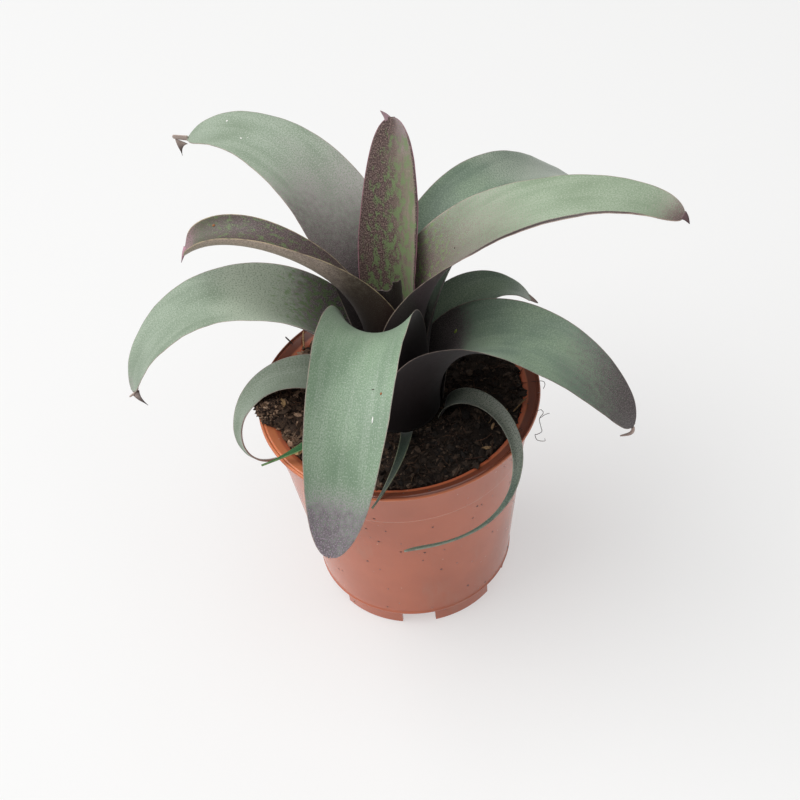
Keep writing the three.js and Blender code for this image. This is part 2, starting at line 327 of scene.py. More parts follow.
def turned_shape(rings, low, high):
    """Rings of points, closed to a solid by a point on the axis at either end."""
    rows, columns = rings.shape[:2]
    points = np.concatenate([rings.reshape(-1, 3), [[0, 0, low], [0, 0, high]]])
    here, pole = np.arange(columns), rows * columns
    there, last = np.roll(here, -1), (rows - 1) * columns
    under = np.stack([0 * here + pole, there, here], -1)
    over = np.stack([0 * here + pole + 1, last + here, last + there], -1)
    quads = grid_faces(rows, columns, closed=True)[:, ::-1]
    return points, quads.tolist() + under.tolist() + over.tolist()


def make_piece(name, points, faces, finish, uv=None, values=None, sharp=None, stands_for=None):
    """Points in millimetres from the pot's foot become a mesh in metres, smooth-shaded, with its uv in
    millimetres, its values stored per point, and edges sharper than an angle kept sharp."""
    mesh = bpy.data.meshes.new(name)
    mesh.from_pydata(((points + POT_AXIS) * MM).tolist(), [], faces)
    mesh.polygons.foreach_set("use_smooth", np.ones(len(mesh.polygons), bool))
    corner = np.zeros(len(mesh.loops), int)
    mesh.loops.foreach_get("vertex_index", corner)
    if uv is not None:
        mesh.uv_layers.new(name="blade").data.foreach_set("uv", uv[corner].ravel().astype(np.float32))
    for key, value in (values or {}).items():
        layer = mesh.attributes.new(key, "FLOAT", "POINT")
        layer.data.foreach_set("value", np.asarray(value, np.float32).ravel())
    if sharp is not None:
        mesh.set_sharp_from_angle(angle=math.radians(sharp))
    mesh.materials.append(finish)
    mesh.validate()
    piece = bpy.data.objects.new(name, mesh)
    bpy.context.scene.collection.objects.link(piece)
    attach(piece, "root")
    if stands_for:
        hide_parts(stands_for)
    return piece


def heading(rise, turn):
    """The unit vector that climbs at an angle above level and points in a compass direction."""
    rise, turn = np.radians(rise), np.radians(turn)
    return np.stack([np.cos(rise) * np.cos(turn), np.cos(rise) * np.sin(turn), np.sin(rise)], -1)


def lattice_noise(points, size, seed):
    """Smooth values from -1 to 1. Random numbers sit on a cubic lattice of the given spacing, and a
    point takes the blend of the eight round it, by the soft step 3f^2 - 2f^3 of its place in the cell."""
    table = np.random.default_rng(seed).uniform(-1, 1, (32, 32, 32))
    cell = np.floor(points / size).astype(int)
    part = points / size - cell
    part = part * part * (3 - 2 * part)
    total = np.zeros(points.shape[:-1])
    for corner in np.ndindex(2, 2, 2):
        index = (cell + corner) % 32
        share = np.prod(np.where(np.array(corner) == 1, part, 1 - part), axis=-1)
        total += share * table[index[..., 0], index[..., 1], index[..., 2]]
    return total


print("grid helpers ready")

# %% [markdown]
# ## The pot
#
# The real pot is injection-moulded plastic, so it is a turned shape with small round edges: a thin
# lip with a groove that overhangs the wall, a fine line round a tapering wall, a ridge, and a ring of
# feet with gaps between them. A profile carried round the axis makes all of it. Each corner of the
# profile is replaced by a short arc, which is what catches the light along the lip. The gaps are made
# in the same grid: where a column falls in a gap, the foot's points are lifted to the gap's top.

# %% Pot shape
BAND_RADIUS = LIP - 7.8
LIP_DEPTH = 2.2
WALL_TOP_RADIUS = 56.3
LINE_DEPTH = 22
LINE_RADIUS = 53.5
LINE_STEP = 0.4
INNER_DEPTH = 24
INNER_RADIUS = 52
FOOT_RADIUS = 41.4
FOOT_WALL = 1.6
FOOT_HEIGHT = 8.2
FOOT_COUNT = 6
FOOT_GAP_ANGLE = -93.5
FOOT_GAP_WIDTH = 15
GAP_TOP = 6.9
FLOOR_UNDER = 7.2
FLOOR_TOP = 9
DRAIN_RADIUS = 3.5
DRAIN_CIRCLE = 32
POT_COLUMNS = 288
GAP_SIDE_ANGLE = 0.02

# Each corner: radius, height and the radius of its rounding
POT_PROFILE = [
    (0, FLOOR_UNDER, 0), (FOOT_RADIUS - FOOT_WALL, FLOOR_UNDER, 0.4), (FOOT_RADIUS - FOOT_WALL, 0, 0.3),
    (FOOT_RADIUS, 0, 0.3), (FOOT_RADIUS + 0.3, FOOT_HEIGHT, 0.3), (FOOT_RADIUS + 2.1, FOOT_HEIGHT + 0.4, 0.3),
    (FOOT_RADIUS + 2.4, FOOT_HEIGHT + 1.2, 0.3), (FOOT_RADIUS + 2, FOOT_HEIGHT + 2.2, 0.5),
    (LINE_RADIUS - LINE_STEP, TOP - LINE_DEPTH - 0.6, 0.15), (LINE_RADIUS, TOP - LINE_DEPTH, 0.15),
    (WALL_TOP_RADIUS, TOP - LIP_DEPTH, 0.3), (LIP - 0.4, TOP - LIP_DEPTH + 0.3, 0.3), (LIP, TOP - 1, 0.4),
    (LIP - 0.4, TOP - 0.1, 0.2), (LIP - 1, TOP, 0.25), (LIP - 1.5, TOP - 0.8, 0.3),
    (LIP - 2.1, TOP - 0.3, 0.3), (BAND_RADIUS, TOP - 3, 0.8), (INNER_RADIUS, TOP - INNER_DEPTH, 2),
    (FOOT_RADIUS + 0.6, FLOOR_TOP, 2), (0, FLOOR_TOP, 0),
]


def towards(way, size):
    """A step of the given size along each way, but less than half of it."""
    length = np.linalg.norm(way, axis=1, keepdims=True)
    return way / np.maximum(length, 1e-9) * np.minimum(size, 0.45 * length)


def rounded(profile, steps=4):
    """Each corner becomes a smooth bend: it starts and ends at the rounding's distance from the corner,
    always less than half way along a side, and follows the square curve that both sides touch."""
    corners = np.array(profile, float)
    points, size = corners[:, :2], corners[:, 2:]
    before, after = np.roll(points, 1, 0) - points, np.roll(points, -1, 0) - points
    start, end = (points + towards(way, size) for way in (before, after))
    s = np.linspace(0, 1, steps + 1)[None, :, None]
    bend = (1 - s) ** 2 * start[:, None] + 2 * s * (1 - s) * points[:, None] + s ** 2 * end[:, None]
    return np.concatenate([points[:1], bend[1:-1].reshape(-1, 2), points[-1:]])


def pot_columns():
    """Even angles round the pot, with two close together at each side of each gap, so that the gap's
    ends stand straight up."""
    half_gap = math.degrees(math.asin(FOOT_GAP_WIDTH / 2 / FOOT_RADIUS))
    even = np.arange(POT_COLUMNS) * 360 / POT_COLUMNS
    middles = FOOT_GAP_ANGLE + np.arange(FOOT_COUNT) * 360 / FOOT_COUNT
    sides = (middles[:, None] + np.array([-1, 1]) * half_gap).ravel()
    angles = np.unique(np.concatenate([even, sides - GAP_SIDE_ANGLE, sides + GAP_SIDE_ANGLE]) % 360)
    away = np.abs((angles[:, None] - middles + 180) % 360 - 180).min(1)
    return angles, away < half_gap


def turned_pot():
    """Point (i, j) is profile point i turned to angle j; in a gap its height is at least the gap's top."""
    profile = rounded(POT_PROFILE)
    angles, in_gap = pot_columns()
    turn = np.radians(angles)
    radius, height = profile[1:-1, :1], profile[1:-1, 1:]
    lifted = np.where(in_gap & (radius > FOOT_RADIUS - 3), np.maximum(height, GAP_TOP), height + 0 * turn)
    ring = np.stack([radius * np.cos(turn), radius * np.sin(turn), lifted], -1)
    return turned_shape(ring, FLOOR_UNDER, FLOOR_TOP)


def drill(piece, centres, radius, low, high, sides=24):
    """Round holes cut through a piece by a Boolean, whose cutter is removed once the cut is applied."""
    turn = np.arange(sides) * 2 * np.pi / sides
    ring = radius * np.stack([np.cos(turn), np.sin(turn)], -1)
    points = np.zeros((len(centres), 2, sides, 3))
    points[..., :2] = centres[:, None, None, :] + ring
    points[..., 2] = np.array([[low], [high]])
    faces = [face for part in tube_faces(2, sides) for face in copied(part, 2 * sides, len(centres)).tolist()]
    mesh = bpy.data.meshes.new("drill")
    mesh.from_pydata(((points.reshape(-1, 3) + POT_AXIS) * MM).tolist(), [], faces)
    cutter = bpy.data.objects.new("drill", mesh)
    bpy.context.scene.collection.objects.link(cutter)
    cut = piece.modifiers.new("holes", "BOOLEAN")
    cut.operation, cut.solver, cut.object = "DIFFERENCE", "EXACT", cutter
    depsgraph = bpy.context.evaluated_depsgraph_get()
    drilled = bpy.data.meshes.new_from_object(piece.evaluated_get(depsgraph))
    piece.modifiers.remove(cut)
    piece.data = drilled
    bpy.data.objects.remove(cutter)


# %% [markdown]
# ## The pot's finish
#
# The plastic is a warm terracotta orange, coloured right through, and glossy: the wall mirrors the
# white room, most of all where it turns away from the eye. What makes it look real is that it isn't
# clean. Handling leaves dull patches, the mould leaves a faint waviness, and grains of wet peat have
# dried on the wall. All of that is noise in Object coordinates, so it stays put on the pot. The
# raised line and the thin lip are painted paler, as painted highlights, which is a matter of height
# alone. The band inside the lip is painted bright orange at the left, a painted highlight, and dark
# at the front, right and back, which is painted shade.

# %% Pot finish and piece
def pot_finish():
    """Glossy terracotta-coloured plastic with smears and dried peat, with painted highlights and shade at the
    lip.
    """
    f = Finish("pot_plastic")
    place = f.place()
    height = f.along("Z", place)
    cloud = f.noise(place, scale=24, detail=3)
    smear = f.noise(f.scaled(place, 90, 90, 26), detail=4, rough=0.6)
    grain = f.noise(place, scale=2600, detail=1)
    colour = f.mix(paint("c56b4b"), paint("b25f42"), f.step(cloud, 0.3, 0.7))
    colour = f.lay(colour, paint("b07f68"), f.step(smear, 0.52, 0.76), 0.3)
    # Painted highlight: a paler band along the raised line
    line = f.near(height, (TOP - LINE_DEPTH) * MM, 0.35 * MM)
    colour = f.lay(colour, paint("dca48a"), line, 0.55)
    # Painted highlight: the lip a brighter orange
    lip = f.step(height, (TOP - LIP_DEPTH) * MM, (TOP - 1.6) * MM)
    colour = f.lay(colour, paint("d0703f"), lip, 0.7)
    inside = f.times(f.step(f.radius(place), LIP * MM, (LIP - 0.7) * MM), lip)
    # Painted shade mask for the band inside the lip: 1 from the left's middle to the right, and at the back
    painted_shade = f.step(f.along("X", place), (POT_AXIS[0] - 46) * MM, (POT_AXIS[0] - 20) * MM)
    back = f.step(f.along("Y", place), (POT_AXIS[1] + 4) * MM, (POT_AXIS[1] + 16) * MM)
    painted_shade = f.maths("MAXIMUM", painted_shade, back)
    # Painted highlight: the band inside the lip bright orange; then painted shade over it where the mask is 1
    colour = f.lay(colour, paint("e08a60"), inside, 0.8)
    colour = f.lay(colour, paint("5f3024"), f.times(inside, painted_shade), 0.92)
    patches = f.step(f.noise(place, scale=55, detail=1), 0.4, 0.52)
    dark = f.times(f.step(f.cells(place, scale=190), 0.13, 0.08), patches)
    pale = f.step(f.cells(place, scale=150), 0.062, 0.035)
    colour = f.lay(colour, paint("e2b7a0"), pale, 0.5)
    colour = f.lay(colour, paint("3b241b"), dark, 0.85)
    rough = f.plus(f.times(smear, 0.2), f.plus(f.times(cloud, 0.08), 0.08))
    bump = f.relief(cloud, 0.1)
    bump = f.relief(grain, 0.005, bump)
    bump = f.relief(dark, 0.12, bump)
    f.set_skin(Base_Color=colour, Roughness=f.plus(rough, f.times(dark, 0.5)), Normal=bump)
    f.set_skin(Specular_IOR_Level=0.55, Subsurface_Weight=0.08, Subsurface_Scale=0.003)
    f.skin.inputs["Subsurface Radius"].default_value = (1.0, 0.35, 0.15)
    return f.material


pot_points, pot_faces = turned_pot()
pot = make_piece("pot_body", pot_points, pot_faces, pot_finish(), sharp=40, stands_for="pot")
drain_turns = np.radians(FOOT_GAP_ANGLE + np.arange(FOOT_COUNT) * 60)
drains = DRAIN_CIRCLE * np.stack([np.cos(drain_turns), np.sin(drain_turns)], -1)
drill(pot, drains, DRAIN_RADIUS, FLOOR_UNDER - 2, FLOOR_TOP + 2)
print("pot:", len(pot.data.polygons), "faces")

# %% [markdown]
# ## The soil
#
# Peat mix is not a smooth surface with a rough material: it is crumbs, and light falls between them.
# The bed below is one closed surface, pushed up and down by three sizes of noise. It dips under the
# leaves. At the left it is heaped over the lip, as on the solid: each ring has a plain place and a
# heaped one, and its angle says how much of each it takes. Where it crosses the lip it is held up
# to the lip's own height. Loose crumbs, bark and fibres are then strewn on it as real pieces. The
# soil is light brown at the left, towards the window. It is painted dark from the middle to the
# right and in the hollows between its crumbs: painted shade.

# %% Soil bed
CLEARANCE = 0.3
DISH_LEVEL = TOP - 6.9
DISH_RADIUS = 22
HEAP_ANGLE = 180
HEAP_HALF_ANGLE = 12
SOIL_COLUMNS = 300
# Painted shade on the soil and its bits: its colour, where along X it begins and where it is full
PAINTED_SHADE_PEAT = "0f0c0a"
PAINTED_SHADE_FROM = -40
PAINTED_SHADE_TO = 6
SOIL_RIM = BAND_RADIUS - CLEARANCE

# Each ring from the rim inwards: radius, height, radius and height where heaped, roughness
SOIL_TOP_RINGS = np.array([
    (SOIL_RIM - 0.2, TOP - 5, SOIL_RIM - 0.2, TOP - 5, 0),
    (SOIL_RIM, TOP - 3.6, SOIL_RIM + 0.6, TOP - 2.3, 0),
    (SOIL_RIM, TOP - 3.3, LIP - 2.4, TOP + 0.2, 0),
    (SOIL_RIM - 0.1, TOP - 3, LIP + 0.3, TOP + 0.35, 0.2),
    (SOIL_RIM - 0.4, TOP - 2.7, LIP + 0.5, TOP + 1.1, 0.5),
    (SOIL_RIM - 1, TOP - 2.6, LIP - 0.8, TOP + 2.4, 0.9),
    (50, TOP - 2.6, 54, TOP + 3.4, 1),
    (48, TOP - 2.6, 48, TOP + 1.2, 1),
    (42, TOP - 2.6, 42, TOP - 1.2, 1),
    (36, TOP - 2.6, 36, TOP - 2.6, 1),
    (30, TOP - 3.6, 30, TOP - 3.6, 1),
    (DISH_RADIUS + 3, DISH_LEVEL + 1.5, DISH_RADIUS + 3, DISH_LEVEL + 1.5, 0.6),
    (DISH_RADIUS, DISH_LEVEL, DISH_RADIUS, DISH_LEVEL, 0.3),
    (1, DISH_LEVEL, 1, DISH_LEVEL, 0),
])
RING_STEPS = np.array([3, 3, 6, 4, 8, 10, 12, 26, 26, 24, 18, 8, 12])
SOIL_INNER = len(SOIL_TOP_RINGS) - 1
BED_ROUGHNESS = 0.7

# Each size of noise on the bed: its height, its width in mm and its seed
BED_NOISES = [(1.0, 6.0, 11), (0.8, 2.4, 12), (0.5, 1.1, 13)]
SEAT_RADII = [BAND_RADIUS - 0.4, LIP - 2.6, LIP - 1.8, LIP + 3]
SEAT_HEIGHTS = [TOP - 3, TOP - 0.2, TOP + 0.15, TOP + 0.15]


def heap_at(angle):
    """1 at the middle of the heap and 0 outside it, falling as a cosine with an uneven edge."""
    away = np.abs((angle - HEAP_ANGLE + 180) % 360 - 180)
    edge = HEAP_HALF_ANGLE * (1 + 0.12 * np.sin(angle * 0.9) + 0.08 * np.sin(angle * 2.3 + 1))
    return np.where(away < edge, np.cos(np.pi / 2 * np.minimum(away / edge, 1)) ** 0.35, 0)


def soil_place(ring, angle):
    """A place on the bed: ring counts through the rings above, with parts between them, and angle is in
    degrees. Between rings it is a straight blend, and between the plain and heaped places too."""
    number = np.arange(len(SOIL_TOP_RINGS))
    radius, height, heap_radius, heap_height, rough = (np.interp(ring, number, c) for c in SOIL_TOP_RINGS.T)
    heap, turn = heap_at(angle), np.radians(angle)
    reach = radius + (heap_radius - radius) * heap
    flat = np.stack([reach * np.cos(turn), reach * np.sin(turn), height + (heap_height - height) * heap], -1)
    lumps = sum(high * lattice_noise(flat, wide, seed) for high, wide, seed in BED_NOISES)
    flat[..., 2] += rough * lumps * BED_ROUGHNESS
    seat = np.interp(reach, SEAT_RADII, SEAT_HEIGHTS) + 0.1 * np.minimum(ring, 6)
    over_lip = (reach > BAND_RADIUS - 0.2) & (ring > 0.5)
    flat[..., 2] = np.where(over_lip, np.maximum(flat[..., 2], seat), flat[..., 2])
    return flat


def soil_bed():
    """A grid of rings: the fine top rings, then one below the rim and one at the bottom, both inside the
    pot's wall, and a point at each pole."""
    steps = [np.arange(n) / n + i for i, n in enumerate(RING_STEPS)]
    ring = np.append(np.concatenate(steps), SOIL_INNER)
    angle = np.arange(SOIL_COLUMNS) * 360 / SOIL_COLUMNS
    top = soil_place(ring[:, None] + 0 * angle, angle + 0 * ring[:, None])
    turn = np.radians(angle)
    walls = [(FOOT_RADIUS + 0.3, FLOOR_TOP + CLEARANCE), (INNER_RADIUS - CLEARANCE, TOP - INNER_DEPTH)]
    sides = np.stack([np.stack([r * np.cos(turn), r * np.sin(turn), z + 0 * turn], -1) for r, z in walls])
    return turned_shape(np.concatenate([sides, top]), FLOOR_TOP + CLEARANCE, DISH_LEVEL)


def painted_soil_shade(f, place):
    """0 at the left and 1 from the middle to the right: the share of painted shade on the soil and its bits.
    """
    return f.step(f.along("X", place), (POT_AXIS[0] + PAINTED_SHADE_FROM) * MM, (POT_AXIS[0] + PAINTED_SHADE_TO) * MM)


def soil_finish():
    """Dull brown peat with pale fibres, and painted shade: near black in its bump's hollows and dark to the
    right.
    """
    f = Finish("potting_soil")
    place = f.place()
    patch = f.noise(place, scale=90, detail=3)
    crumb = f.noise(place, scale=900, detail=4, rough=0.65)
    fibre = f.noise(f.scaled(place, 1900, 500, 900), detail=3, rough=0.6)
    colour = f.mix(paint("3c302a"), paint("75604f"), f.step(patch, 0.35, 0.65))
    colour = f.lay(colour, paint("9c7a60"), f.step(fibre, 0.58, 0.72), 0.6)
    # Painted shade: nearly black where the crumb bump is low, in its hollows
    colour = f.lay(colour, paint("0d0a08"), f.step(crumb, 0.5, 0.38), 0.85)
    # Painted shade: dark from the middle to the right
    colour = f.lay(colour, paint(PAINTED_SHADE_PEAT), painted_soil_shade(f, place), 0.88)
    bump = f.relief(crumb, 0.7)
    f.set_skin(Base_Color=colour, Roughness=0.94, Normal=bump)
    f.set_skin(Specular_IOR_Level=0.2)
    return f.material


soil_points, soil_faces = soil_bed()
soil = make_piece("soil_bed", soil_points, soil_faces, soil_finish(), stands_for="soil")
print("soil bed:", len(soil.data.polygons), "faces")

# %% [markdown]
# ## Crumbs, bark and fibres
#
# Each loose bit is a lump: an eight-sided ball with every edge split once, whose 18 corners are
# pushed in and out at random, then stretched, turned and laid on the bed. Real peat crumbs are not
# pebbles: they are flat, torn scraps with fibres sticking out, so the lumps are strongly stretched and
# stay sharp-edged. Thousands are made at once as one array, and each has a tint of its own, from
# dark peat to pale bark. Fibres are thin three-sided tubes along a path that wanders. A particle
# system would be quicker to set up, but real meshes can be exported.

# %% Lumps
def lump_shape():
    """The corners and faces of an octahedron with each edge split at its middle and pushed out round."""
    tips = np.array([[1, 0, 0], [0, 1, 0], [-1, 0, 0], [0, -1, 0], [0, 0, 1], [0, 0, -1]], float)
    sides = [(0, 1, 4), (1, 2, 4), (2, 3, 4), (3, 0, 4), (1, 0, 5), (2, 1, 5), (3, 2, 5), (0, 3, 5)]
    points, middles, faces = list(tips), {}, []

    def middle(a, b):
        """The corner half way along an edge, made once for the two faces that meet there."""
        key = (min(a, b), max(a, b))
        if key not in middles:
            middles[key] = len(points)
            points.append((tips[a] + tips[b]) / np.sqrt(2))
        return middles[key]

    for a, b, c in sides:
        ab, bc, ca = middle(a, b), middle(b, c), middle(c, a)
        faces += [(a, ab, ca), (b, bc, ab), (c, ca, bc), (ab, bc, ca)]
    return np.array(points), np.array(faces)


def turned_frames(turn, pitch, bank):
    """A 3 by 3 frame for each set of angles: banked about x, pitched about y, then turned about z."""
    zero, one = 0 * turn, 0 * turn + 1
    about_z = [[np.cos(turn), -np.sin(turn), zero], [np.sin(turn), np.cos(turn), zero], [zero, zero, one]]
    about_y = [[np.cos(pitch), zero, np.sin(pitch)], [zero, one, zero], [-np.sin(pitch), zero, np.cos(pitch)]]
    about_x = [[one, zero, zero], [zero, np.cos(bank), -np.sin(bank)], [zero, np.sin(bank), np.cos(bank)]]
    z, y, x = (np.moveaxis(np.array(m), -1, 0) for m in (about_z, about_y, about_x))
    return z @ y @ x


def strewn_lumps(centres, sizes, tilt, seed, ragged=0.25):
    """Copies of the lump: corners scaled by a random share, stretched by sizes, turned at random and
    moved to their centres. Returns points and faces of all copies together."""
    rng = np.random.default_rng(seed)
    shape, faces = lump_shape()
    count = len(centres)
    pushed = shape * rng.uniform(1 - ragged, 1 + ragged, (count, len(shape), 1))
    turn = rng.uniform(0, 2 * np.pi, count)
    frames = turned_frames(turn, rng.normal(0, tilt, count), rng.normal(0, tilt, count))
    points = np.einsum("nij,nkj->nki", frames, pushed * sizes[:, None, :]) + centres[:, None, :]
    return points.reshape(-1, 3), copied(faces, len(shape), count), len(shape)


def wandering_tubes(starts, headings, lengths, radii, curl, seed, steps=7, sides=3):
    """Thin tubes: each path goes on from its start in equal steps, and its heading takes a small random
    turn at every step. A section is a ring across the heading, thinner at both ends."""
    rng = np.random.default_rng(seed)
    count = len(starts)
    turns = rng.normal(0, curl, (count, steps, 3))
    ways = headings[:, None, :] + np.cumsum(turns, 1)
    ways /= np.linalg.norm(ways, axis=-1, keepdims=True)
    path = starts[:, None, :] + np.cumsum(ways * (lengths / steps)[:, None, None], 1)
    path = np.concatenate([starts[:, None, :], path], 1)
    ways = np.concatenate([ways[:, :1], ways], 1)
    across = np.cross(ways, np.array([0.31, 0.17, 0.93]))
    across /= np.linalg.norm(across, axis=-1, keepdims=True)
    third = np.cross(ways, across)
    turn = np.arange(sides) * 2 * np.pi / sides
    s = np.linspace(-1, 1, steps + 1)
    girth = radii[:, None] * np.sqrt(1.05 - s ** 2)[None]
    ring = across[:, :, None] * np.cos(turn)[:, None] + third[:, :, None] * np.sin(turn)[:, None]
    points = path[:, :, None] + girth[:, :, None, None] * ring
    each = (steps + 1) * sides
    faces = [face for part in tube_faces(steps + 1, sides) for face in copied(part, each, count).tolist()]
    return points.reshape(-1, 3), faces, each


def tinted_finish(name, stops, rough=0.85, painted_shade=0.84):
    """Bits whose tint value runs through a few colours, with a grain of its own."""
    f = Finish(name)
    tint, place = f.attribute("tint"), f.place()
    grain = f.noise(place, scale=1500, detail=3, rough=0.6)
    colour = paint(stops[0])
    for number, code in enumerate(stops[1:]):
        low = number / (len(stops) - 1)
        colour = f.mix(colour, paint(code), f.step(tint, low, low + 1 / (len(stops) - 1)))
    colour = f.lay(colour, paint("0f0b09"), f.step(grain, 0.56, 0.4), 0.5)
    # Painted shade: darker from the middle to the right, as far as the given share
    colour = f.lay(colour, paint(PAINTED_SHADE_PEAT), painted_soil_shade(f, place), painted_shade)
    f.set_skin(Base_Color=colour, Roughness=rough, Normal=f.relief(grain, 0.15))
    f.set_skin(Specular_IOR_Level=0.3)
    return f.material


# %% [markdown]
# The bed is strewn evenly by area, so a ring's share of the bits grows with its radius. More bits lie
# along the rim, where the photo shows a ragged edge on the pot's band, and on the heap, which spills
# over the lip.

# %% Strew the bed
CRUMBS, HEAP_CRUMBS, RIM_CRUMBS = 3300, 620, 620
CHIPS, HEAP_CHIPS = 240, 50
FIBRES, HEAP_FIBRES = 1500, 160
CRUMB_SIZE, HEAP_CRUMB_SIZE = 0.52, 0.9
CHIP_LENGTH, HEAP_CHIP_LENGTH = 1.3, 1.5
FIBRE_LENGTH, HEAP_FIBRE_LENGTH = 4.0, 2.2
UNDER_LEAF = TOP + 3.3
BITS_FROM = 18.0
HEAP_RINGS = (3.0, 7.2)
RIM_RINGS = (4.0, 5.6)


def strewn_places(count, rng, lift):
    """Random places on the bed, even by area between the dish and the rim."""
    radius = np.sqrt(rng.uniform(BITS_FROM ** 2, (SOIL_RIM - 0.6) ** 2, count))
    rings = np.arange(4, SOIL_INNER + 1)
    ring = np.interp(radius, SOIL_TOP_RINGS[rings, 0][::-1], rings[::-1])
    places = soil_place(ring, rng.uniform(-180, 180, count))
    places[:, 2] += lift
    return places


def heap_places(count, rng, lift):
    """More bits on the heap, from its ragged outer edge to where it meets the bed. They stay under the
    leaf that passes over it."""
    ring = rng.uniform(*HEAP_RINGS, count)
    angle = HEAP_ANGLE + HEAP_HALF_ANGLE * rng.triangular(-0.95, 0, 0.95, count)
    places = soil_place(ring, angle)
    places[:, 2] = np.minimum(places[:, 2] + lift, UNDER_LEAF)
    return places


def rim_places(count, rng, lift):
    """Bits against the rim, a few of which have climbed up the sloping band."""
    angle = rng.uniform(-180, 180, count)
    places = soil_place(rng.uniform(*RIM_RINGS, count), angle)
    climb = rng.exponential(0.35, count).clip(0, 1.8) * (heap_at(angle) < 0.05)
    outward = np.stack([np.cos(np.radians(angle)), np.sin(np.radians(angle)), 0.72 + 0 * angle], -1)
    places += outward * climb[:, None]
    places[:, 2] += lift
    return places


def strew_crumbs(rng):
    """Torn scraps in sizes that follow a lognormal, most of them dark. On the heap none is large."""
    centres = np.concatenate([strewn_places(CRUMBS, rng, 0.1), heap_places(HEAP_CRUMBS, rng, 0.15),
                              rim_places(RIM_CRUMBS, rng, 0.1)])
    count = len(centres)
    size = rng.lognormal(math.log(CRUMB_SIZE), 0.62, count).clip(0.2, 2.0)
    heaped = slice(CRUMBS, CRUMBS + HEAP_CRUMBS)
    size[heaped] = np.minimum(size[heaped], HEAP_CRUMB_SIZE)
    stretch = [rng.uniform(0.9, 1.7, count), rng.uniform(0.5, 1, count), rng.uniform(0.25, 0.6, count)]
    points, faces, each = strewn_lumps(centres, size[:, None] * np.stack(stretch, -1), 0.6, 6, ragged=0.42)
    tint = np.repeat(rng.beta(0.9, 2.6, count), each)
    finish = tinted_finish("peat_crumb", ["2c221c", "7d6451", "bb9a80", "dcc2a6"])
    return make_piece("soil_crumbs", points, faces.tolist(), finish,
                      values={"tint": tint}, sharp=30)


def strew_chips(rng):
    """Flat chips of bark, a few times as long as they are wide."""
    centres = np.concatenate([strewn_places(CHIPS, rng, 0.2), heap_places(HEAP_CHIPS, rng, 0.25)])
    count = len(centres)
    length = rng.lognormal(math.log(CHIP_LENGTH), 0.4, count).clip(0.5, 3.0)
    length[CHIPS:] = np.minimum(length[CHIPS:], HEAP_CHIP_LENGTH)
    stretch = [np.ones(count), rng.uniform(0.2, 0.5, count), rng.uniform(0.1, 0.25, count)]
    points, faces, each = strewn_lumps(centres, length[:, None] * np.stack(stretch, -1), 0.4, 7, ragged=0.35)
    tint = np.repeat(0.75 * rng.beta(1.0, 2.4, count), each)
    finish = tinted_finish("bark_chip", ["2a1e16", "5a4232", "8a6c52", "c09c70"], painted_shade=0.45)
    return make_piece("bark_chips", points, faces.tolist(), finish,
                      values={"tint": tint}, sharp=30)


def strew_fibres(rng):
    """Threads that lie nearly flat. Close to the rim their headings are bent inwards."""
    starts = np.concatenate([strewn_places(FIBRES, rng, 0.15), heap_places(HEAP_FIBRES, rng, 0.1)])
    count = len(starts)
    ways = heading(rng.normal(4, 14, count), rng.uniform(-180, 180, count))
    outward = starts * (1, 1, 0)
    reach = np.linalg.norm(outward, axis=1)
    near_rim = reach > SOIL_RIM - 6
    ways[near_rim] -= 0.9 * (outward / reach[:, None])[near_rim]
    ways /= np.linalg.norm(ways, axis=1, keepdims=True)
    lengths = rng.lognormal(math.log(FIBRE_LENGTH), 0.55, count).clip(1.2, 12)
    lengths[FIBRES:] = np.minimum(lengths[FIBRES:], HEAP_FIBRE_LENGTH)
    radii = rng.uniform(0.06, 0.2, count)
    points, faces, each = wandering_tubes(starts, ways, lengths, radii, 0.3, 8)
    tint = np.repeat(rng.beta(1.1, 2.6, count), each)
    finish = tinted_finish("peat_fibre", ["241811", "54382a", "7d5a44", "b08f66"], painted_shade=0.5)
    return make_piece("soil_fibres", points, faces, finish, values={"tint": tint})


strewing = np.random.default_rng(5)
for strew in (strew_crumbs, strew_chips, strew_fibres):
    bits = strew(strewing)
    print(bits.name, len(bits.data.polygons), "faces")

# %% [markdown]
# ## A few bits that tell this pot from another
#
# Strewn noise gives a bed of the right kind, but this plant also has bits that the eye finds at
# once: a chunk of tan bark at the left, a golden knot of fibre, chips and a twig at the right, a dry
# stalk behind, and a tuft of fine roots that hangs out over the lip. All but the tuft are given by
# polar coordinates about the pot's axis. The chips are single lumps. The rest are thin tubes that
# are carried along a smooth curve through a few named points.

# %% Single bits
BED = TOP - 2.4
CHIP_TILT = 0.15
ROOT_GIRTH = 0.13
ROOT_TINT = 0.25

# Each chip: distance from the axis, direction, height above the bed, half sizes, its own turn, tint
CHIP_PLACES = [
    (49.2, -179.5, 4.4, (2.5, 1.5, 0.9), 100, 0.95), (46.2, -20.8, 0.6, (1.9, 0.8, 0.5), 40, 0.9),
    (48.8, -47.5, 0.5, (2.4, 0.9, 0.5), -10, 0.95), (44.3, -33.0, 0.5, (1.6, 0.8, 0.4), 70, 0.85),
    (50.6, -149.4, 0.7, (2.3, 1.4, 0.7), 30, 1.0), (52.0, -160.0, 0.8, (1.5, 1.1, 0.6), 140, 0.45),
    (56.5, -178.0, 5.6, (1.5, 1.0, 0.6), 20, 0.6), (45.0, -72.0, 0.4, (1.5, 0.6, 0.4), 160, 0.6),
]

